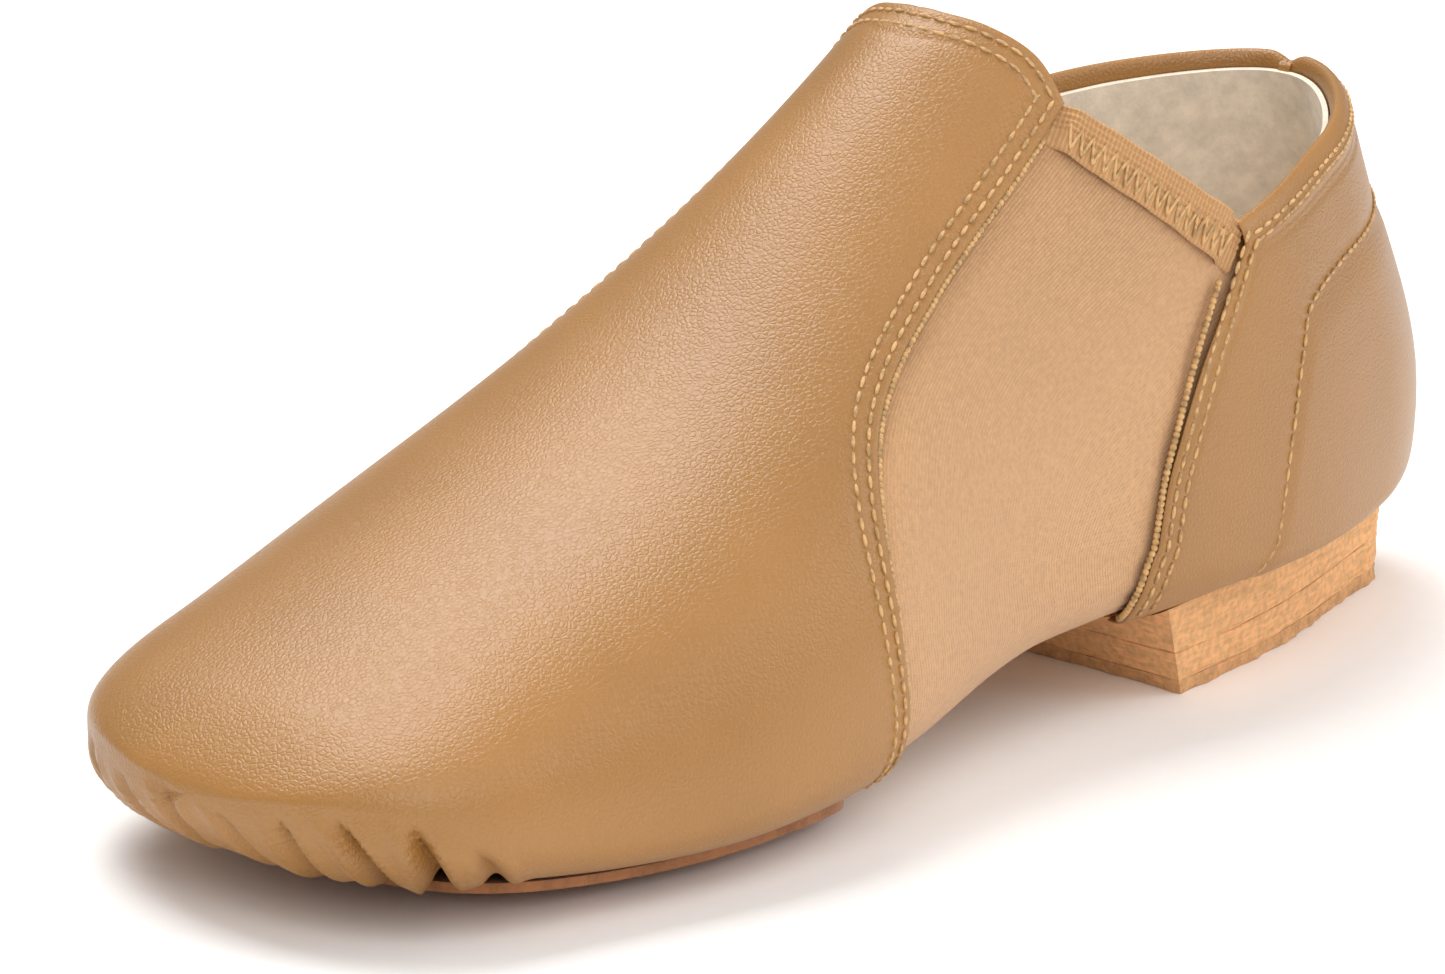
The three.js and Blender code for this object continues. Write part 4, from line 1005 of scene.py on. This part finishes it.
def sew(name, points, node):
    """A row of lockstitches, sunk half into the leather."""
    pitch = size("stitch_pitch")
    piece = sewn_row(name, points, pitch, pitch * STITCH_SHARE, size("thread_radius"), STITCH_FLAT)
    finish_piece(piece, spun_thread(), "thread", node, angle=80)


def wrap_edge(name, points, node):
    """The overlocked cord of thread beside a leather edge, as a row of small wraps."""
    piece = sewn_row(name, points, OVERLOCK_PITCH, OVERLOCK_LENGTH, OVERLOCK_RADIUS)
    finish_piece(piece, spun_thread(), "thread", node, angle=80)


def make_vamp_stitching():
    """Two rows along the vamp's rear edge, from under the foot over the tongue to the other side."""
    s, phi = vamp_edge(np.linspace(VAMP_STITCHES_FROM, 1, 160))
    s, phi, side = there_and_back(s, np.minimum(phi, 89.4))
    for name, inset in zip(("outer", "inner"), STITCH_ROWS):
        sew(f"vamp_stitches_{name}", beside(s, phi, side, inset, STITCH_SUNK), f"vamp_thread_{name}")


def make_quarter_stitching():
    for name, side in SIDES:
        s, phi = quarter_front(np.linspace(*QUARTER_STITCH_SPAN, 90))
        for place, inset in zip(("front", "rear"), STITCH_ROWS):
            points = beside(s, phi, np.full_like(s, side), -side * inset, STITCH_SUNK)
            sew(f"quarter_stitches_{name}_{place}", points, f"quarter_thread_{name}_{place}")


def make_collar_stitching():
    """Two rows under the collar, round the heel's back from one band to the other."""
    turn = np.sin(np.linspace(0, math.pi / 2, 120))
    s = COLLAR_STITCHES_FROM + (BACK_END - COLLAR_STITCHES_FROM) * turn
    s, phi, side = there_and_back(s, collar_phi(s))
    for name, inset in zip(("upper", "lower"), COLLAR_ROWS):
        sew(f"collar_stitches_{name}", beside(s, phi, side, -inset, 0.0), f"collar_thread_{name}")


def make_counter_stitching():
    """The row that holds the heel counter."""
    turn = np.sin(np.linspace(0, math.pi / 2, 120))
    s, phi = counter_stitch(0.02 + 0.98 * turn)
    sew("counter_stitches", on_last(*there_and_back(np.minimum(s, BACK_END), phi), 0.02), "counter_thread")


def make_cords():
    for name, side in SIDES:
        for part, edge, span, count, inset in (
            ("vamp", vamp_side_edge, VAMP_OVERLOCK_SPAN, 140, -OVERLOCK_INSET),
            ("quarter", quarter_front, QUARTER_OVERLOCK_SPAN, 90, OVERLOCK_INSET),
        ):
            s, phi = edge(np.linspace(*span, count))
            points = beside(s, phi, np.full_like(s, side), side * inset, OVERLOCK_SUNK)
            wrap_edge(f"{part}_overlock_{name}", points, f"{part}_cord_{name}")


# ---------------------------------------------------------------- soles, sock and heel


def oval_rings(extent, faces, round_over, around=180, inner=14):
    """Rings of points for a board that follows the shoe's bottom, from its lower middle to its upper middle.

    extent is its first and last s and its share of the bottom's half width, faces gives the lower and the
    upper height at x and s, and round_over is the edge's radius in mm.
    """
    first, last, width_share = extent
    angle = np.linspace(0, 2 * math.pi, around, endpoint=False)
    middle, reach = (first + last) / 2, (last - first) / 2
    edge_s = middle - reach * np.sign(np.cos(angle)) * np.abs(np.cos(angle)) ** 0.8
    ends = rounding(edge_s - first, 16, 2.3) * rounding(last - edge_s, 16, 2.3)
    half = width_share * section(edge_s)[3] * ends
    sign = np.sign(np.sin(angle) + 1e-9)
    spread = np.minimum(1, np.abs(np.sin(angle)) * 4)
    edge_x = centre_x(edge_s) + sign * half * spread
    core_x, core_s = float(centre_x(middle)), middle
    shares = 1 - np.linspace(1, 0, inner) ** 1.6
    rings = []
    for face, order in ((0, shares), (1, shares[::-1])):
        for share in order:
            x, s = mix(core_x, edge_x, share), mix(core_s, edge_s, share)
            height = faces[face](x, s)
            over = np.clip((share - 0.93) / 0.07, 0, 1) ** 2 * round_over * (1 if face == 0 else -1)
            rings.append(np.stack((x, s, height + over), axis=-1))
    return (np.array(rings) + SHIFT) * MM


def make_front_sole():
    """The suede sole patch under the ball of the foot."""
    def low(x, s):
        return np.maximum(0.02, bottom_at(x, s) - GAP - OUTSOLE_THICKNESS)

    def high(x, s):
        return bottom_at(x, s) - GAP

    piece = closed_rings("front_sole_suede", oval_rings(OUTSOLE_EXTENT, (low, high), 0.15))
    finish_piece(piece, split_suede(), "suede", "outsole_front")


def make_sock():
    """The thin padded sock that covers the whole inside of the bottom."""
    def low(x, s):
        return bottom_at(x, s) + (SOCK_FRONT + (SOCK_HEEL - SOCK_FRONT) * smooth(s, *SOCK_RISES))

    def high(x, s):
        return low(x, s) + SOCK_THICKNESS

    piece = closed_rings("sock_pad", oval_rings(SOCK_EXTENT, (low, high), 0.5))
    finish_piece(piece, brushed_lining(), "lining", "sock_liner")


def make_heel_pad():
    """The foam pad under the heel, between its board and the sock."""
    def low(x, s):
        return bottom_at(x, s) + HEEL_PAD[0]

    def high(x, s):
        return bottom_at(x, s) + HEEL_PAD[1]

    piece = closed_rings("heel_cushion", oval_rings(PAD_EXTENT, (low, high), 0.6, 96, 10))
    finish_piece(piece, latex_foam(), "foam", "heel_pad")


def heel_outline(z, count=220):
    """The heel's outline at a height: a straight breast, tapering sides and a round back."""
    rise = z / HEEL_RAKE_HEIGHT
    front = HEEL_FRONT - HEEL_RAKE * rise
    shoulder, shoulder_half = HEEL_SIDE[-1]
    share = np.linspace(0, 1, 40)
    s = mix(front, shoulder, share)
    half = heel_side(np.maximum(s, HEEL_FRONT)) + HEEL_FLARE * rise * (1 - 0.7 * share)
    turn = np.linspace(0, math.pi / 2, 30)[1:]
    back_s = shoulder + (HEEL_BACK - shoulder) * np.sin(turn)
    back_half = (shoulder_half + 0.3 * HEEL_FLARE * rise) * np.cos(turn) ** 0.8
    s, half = np.concatenate((s, back_s)), np.concatenate((half, back_half))
    breast = np.linspace(-1, 1, 30)[1:-1] * half[0]
    x = np.concatenate((centre_x(s) + half, (centre_x(s) - half)[-2::-1], centre_x(front) + breast))
    y = np.concatenate((s, s[-2::-1], np.full(len(breast), front)))
    loop = np.stack((x, y), axis=-1)
    closed = np.vstack((loop, loop[:1]))
    length = np.concatenate(([0], np.cumsum(np.hypot(*np.diff(closed, axis=0).T))))
    even = np.linspace(0, length[-1], count, endpoint=False)
    return np.stack([np.interp(even, length, closed[:, k]) for k in (0, 1)], axis=-1), even


def heel_rings(low, high, seat, seed, fray=0.0):
    """Rings for one lift of the heel, its wall torn into fine fibres.

    seat cuts its top to the shoe's bottom, and fray is how far its lower edge spreads.
    """
    levels = mix(low, high, crowded(9 if high - low < 6 else 26, 0.7))
    rings = []
    loops = [heel_outline(z) for z in levels]
    core = loops[0][0].mean(axis=0)
    for share in 1 - np.linspace(1, 0, 7)[:-1] ** 1.5:
        flat = mix(core, loops[0][0], share)
        rings.append(np.column_stack((flat, np.full(len(flat), low))))
    for z, (loop, run) in zip(levels, loops):
        edge = min(z - low, high - z)
        normal = np.roll(loop, -1, axis=0) - np.roll(loop, 1, axis=0)
        normal = np.column_stack((normal[:, 1], -normal[:, 0])) / np.linalg.norm(normal, axis=1)[:, None]
        wobble = 0.16 * wander(run, seed + int(z * 3), 9, 60) + 0.07 * wander(run, seed + int(z * 7), 7, 9)
        wobble = wobble - 0.14 * (1 - smooth(edge, 0, 0.3))
        if fray and z - low < 1.2:
            wobble = wobble + fray * (1 - (z - low) / 1.2) * np.clip(wander(run, seed, 9, 26), -0.4, 1)
        place = loop + normal * wobble[:, None]
        height = np.full(len(place), float(z))
        if seat:
            limit = bottom_at(place[:, 0], place[:, 1]) - GAP
            height = np.minimum(height, limit - 0.02 * (high - z))
        rings.append(np.column_stack((place, height)))
    top = rings[-1]
    for share in 1 - np.linspace(0, 1, 8)[1:-1] ** 0.8:
        flat = mix(core, top[:, :2], share)
        height = bottom_at(flat[:, 0], flat[:, 1]) - GAP if seat else np.full(len(flat), high)
        rings.append(np.column_stack((flat, height)))
    return (np.array(rings) + SHIFT) * MM


def make_heel():
    first, second = LIFT_JOINTS
    lifts = (
        ("heel_top_piece_suede", 0.05, first, False, 3, 0.55, split_suede_pale(), "suede", "heel_top_piece"),
        ("heel_lift_low", first + 0.08, second, False, 11, 0, stacked_leather(), "leatherboard",
         "heel_lift_lower"),
        ("heel_lift_high", second + 0.08, HEEL_TALLEST, True, 23, 0, stacked_leather(), "leatherboard",
         "heel_lift_upper"),
    )
    for name, low, high, seat, seed, fray, finish, slot, node in lifts:
        piece = closed_rings(name, heel_rings(low, high, seat, seed, fray))
        finish_piece(piece, finish, slot, node, angle=40)


# ---------------------------------------------------------------- settings


class ShoeSizes(bpy.types.PropertyGroup):
    """Sizes that a user would change."""

    leather: FloatProperty(
        name="Leather thickness", description="Wall of the vamp and the quarters", default=0.0012,
        unit="LENGTH")
    stitch_pitch: FloatProperty(
        name="Stitch pitch", description="Length from one stitch to the next", default=0.0024, unit="LENGTH")
    thread_radius: FloatProperty(
        name="Thread radius", description="Half the thickness of the sewing thread", default=0.0003,
        unit="LENGTH")
    zigzag_stitches: IntProperty(
        name="Zigzag strokes", description="Strokes of the zigzag along one elastic band", default=32)
    collar_fold: FloatProperty(
        name="Collar fold", description="Radius of the leather folded over at the collar", default=0.0016,
        unit="LENGTH")
    pleat_depth: FloatProperty(
        name="Pleat depth", description="Depth of the lasting pleats under the toe", default=0.0021,
        unit="LENGTH")
    pleat_width: FloatProperty(
        name="Pleat width", description="Half width of one lasting pleat", default=0.0013, unit="LENGTH")
    pleat_height: FloatProperty(
        name="Pleat height", description="Height over the sole at which the pleats fade out", default=0.0118,
        unit="LENGTH")


def colour_property(label, text, code):
    return FloatVectorProperty(
        name=label, description=text, default=linear(code)[:3], subtype="COLOR", size=3, min=0, max=1)


class ShoeColours(bpy.types.PropertyGroup):
    """Colours that a user would change."""

    leather: colour_property("Leather", "Glazed leather of the upper", "#A1723A")
    neoprene: colour_property("Gore", "Knit face of the stretch gore", "#D0A070")
    elastic: colour_property("Elastic", "Ribbed binding over the gore", "#C99A68")
    thread: colour_property("Thread", "Sewing thread and overlock", "#CBA26C")
    lining: colour_property("Lining", "Brushed lining and sock", "#EFE2CF")
    suede: colour_property("Sole suede", "Suede of the front sole", "#B0764A")
    heel: colour_property("Heel", "Stacked leather of the heel", "#E8B27C")


# ---------------------------------------------------------------- operators


class ShoeVamp(bpy.types.Operator):
    """Make the vamp, pleated under the toe, and its lining"""

    bl_idname = "shoe.vamp"
    bl_label = "Vamp and Lining"

    def execute(self, context):
        make_vamp()
        make_vamp_lining()
        return {"FINISHED"}


class ShoeGore(bpy.types.Operator):
    """Make the stretch gore round the arch"""

    bl_idname = "shoe.gore"
    bl_label = "Arch Gore"

    def execute(self, context):
        make_gore()
        return {"FINISHED"}


class ShoeBands(bpy.types.Operator):
    """Make the elastic bands and their zigzag stitches"""

    bl_idname = "shoe.bands"
    bl_label = "Elastic Bands"

    def execute(self, context):
        for name, side in SIDES:
            make_band(name, side)
            make_zigzag(name, side)
        return {"FINISHED"}


class ShoeQuarters(bpy.types.Operator):
    """Make the two quarters, their tapes and the lining of the heel"""

    bl_idname = "shoe.quarters"
    bl_label = "Quarters and Lining"

    def execute(self, context):
        for name, side in SIDES:
            make_quarter(name, side)
            make_topline_tape(name, side)
        make_quarter_lining()
        return {"FINISHED"}


class ShoeStitching(bpy.types.Operator):
    """Sew the rows along the vamp, the quarters, the collar and the counter"""

    bl_idname = "shoe.stitching"
    bl_label = "Stitching"

    def execute(self, context):
        make_vamp_stitching()
        make_quarter_stitching()
        make_collar_stitching()
        make_counter_stitching()
        return {"FINISHED"}


class ShoeCords(bpy.types.Operator):
    """Lay the overlocked cords between leather and gore"""

    bl_idname = "shoe.cords"
    bl_label = "Edge Cords"

    def execute(self, context):
        make_cords()
        return {"FINISHED"}


class ShoeSoles(bpy.types.Operator):
    """Make the front sole, the sock and the heel pad"""

    bl_idname = "shoe.soles"
    bl_label = "Sole, Sock and Pad"

    def execute(self, context):
        make_front_sole()
        make_sock()
        make_heel_pad()
        return {"FINISHED"}


class ShoeHeel(bpy.types.Operator):
    """Make the three layers of the heel block"""

    bl_idname = "shoe.heel"
    bl_label = "Heel"

    def execute(self, context):
        make_heel()
        return {"FINISHED"}


class ShoeHiddenParts(bpy.types.Operator):
    """Give the boards, felts, tapes and nails inside the shoe their materials"""

    bl_idname = "shoe.hidden_parts"
    bl_label = "Hidden Parts"

    def execute(self, context):
        finishes = {
            "heel_counter": pressed_board(), "insole_front": pressed_board(), "heel_insole": pressed_board(),
            "bottom_filler": wool_felt(), "heel_filler": wool_felt(), "back_seam_tape": cotton_tape(),
        }
        finishes.update({f"heel_nail_{k}": bright_steel() for k in range(1, 6)})
        for name, finish in finishes.items():
            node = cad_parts[name]
            node.data.materials.clear()
            node.data.materials.append(finish)
        return {"FINISHED"}


# Where the camera stands: its turn and height round the aim point, in degrees and metres.
CAMERA_TURN, CAMERA_HEIGHT, CAMERA_DISTANCE, CAMERA_ROLL = 42.6, 16.25, 0.9595, 0.5
CAMERA_AIM = (-0.00771, -0.01336, 0.0352)
CAMERA_LENS = 170.5
LIGHTS = (
    # name, turn, height, distance, size and power
    ("key", -100, 66, 1.1, 0.8, 12.5),
    ("fill", 52, 40, 1.4, 1.1, 10),
    ("back", 135, 30, 1.2, 0.9, 5),
)


def toward(turn, height):
    a, e = math.radians(turn), math.radians(height)
    return Vector((math.sin(a) * math.cos(e), -math.cos(a) * math.cos(e), math.sin(e)))


def make_camera():
    back = toward(CAMERA_TURN, CAMERA_HEIGHT)
    right = Vector((math.cos(math.radians(CAMERA_TURN)), math.sin(math.radians(CAMERA_TURN)), 0))
    up = back.cross(right)
    roll = math.radians(CAMERA_ROLL)
    turned = right * math.cos(roll) + up * math.sin(roll)
    up = up * math.cos(roll) - right * math.sin(roll)
    bpy.ops.object.camera_add()
    camera = bpy.context.object
    camera.data.lens = CAMERA_LENS
    camera.data.clip_end = 10
    place = Vector(CAMERA_AIM) + back * CAMERA_DISTANCE
    camera.matrix_world = Matrix.Translation(place) @ Matrix((turned, up, back)).transposed().to_4x4()
    bpy.context.scene.camera = camera


class ShoeStage(bpy.types.Operator):
    """Make the white floor, the soft lights and the camera"""

    bl_idname = "shoe.stage"
    bl_label = "Stage"

    def execute(self, context):
        deselect()
        make_camera()
        deselect()
        bpy.ops.mesh.primitive_plane_add(size=12, location=(0, 0, 0))
        floor = bpy.context.object
        floor.name = "floor"
        floor.data.materials.append(studio_floor())
        for name, turn, height, distance, width, power in LIGHTS:
            bpy.ops.object.light_add(type="AREA")
            lamp = bpy.context.object
            lamp.name = name
            lamp.data.size = width
            lamp.data.energy = power
            way = toward(turn, height)
            lamp.location = Vector(CAMERA_AIM) + way * distance
            lamp.rotation_euler = way.to_track_quat("Z", "Y").to_euler()
        world = bpy.data.worlds.new("soft room")
        world.use_nodes = True
        world.node_tree.nodes["Background"].inputs["Color"].default_value = linear("#FFFDFB")
        world.node_tree.nodes["Background"].inputs["Strength"].default_value = 0.34
        context.scene.world = world
        context.scene.view_settings.view_transform = "Standard"
        return {"FINISHED"}


OPERATORS = (
    ShoeStage, ShoeVamp, ShoeGore, ShoeBands, ShoeQuarters, ShoeStitching, ShoeCords, ShoeSoles, ShoeHeel,
    ShoeHiddenParts,
)


class ShoePanel(bpy.types.Panel):
    """Lists the steps that make the shoe"""

    bl_idname = "VIEW3D_PT_shoe"
    bl_label = "Dance Shoe"
    bl_space_type = "VIEW_3D"
    bl_region_type = "UI"
    bl_category = "Shoe"

    def draw(self, context):
        for group in (context.scene.shoe_sizes, context.scene.shoe_colours):
            for name in group.__annotations__:
                self.layout.prop(group, name)
        for operator in OPERATORS:
            self.layout.operator(operator.bl_idname)


CLASSES = (ShoeSizes, ShoeColours, *OPERATORS, ShoePanel)


def register():
    for one in CLASSES:
        bpy.utils.register_class(one)
    bpy.types.Scene.shoe_sizes = PointerProperty(type=ShoeSizes)
    bpy.types.Scene.shoe_colours = PointerProperty(type=ShoeColours)


def unregister():
    del bpy.types.Scene.shoe_sizes
    del bpy.types.Scene.shoe_colours
    for one in reversed(CLASSES):
        bpy.utils.unregister_class(one)


def main():
    register()
    for operator in OPERATORS:
        group, name = operator.bl_idname.split(".")
        getattr(getattr(bpy.ops, group), name)()


if __name__ == "__main__":
    main()
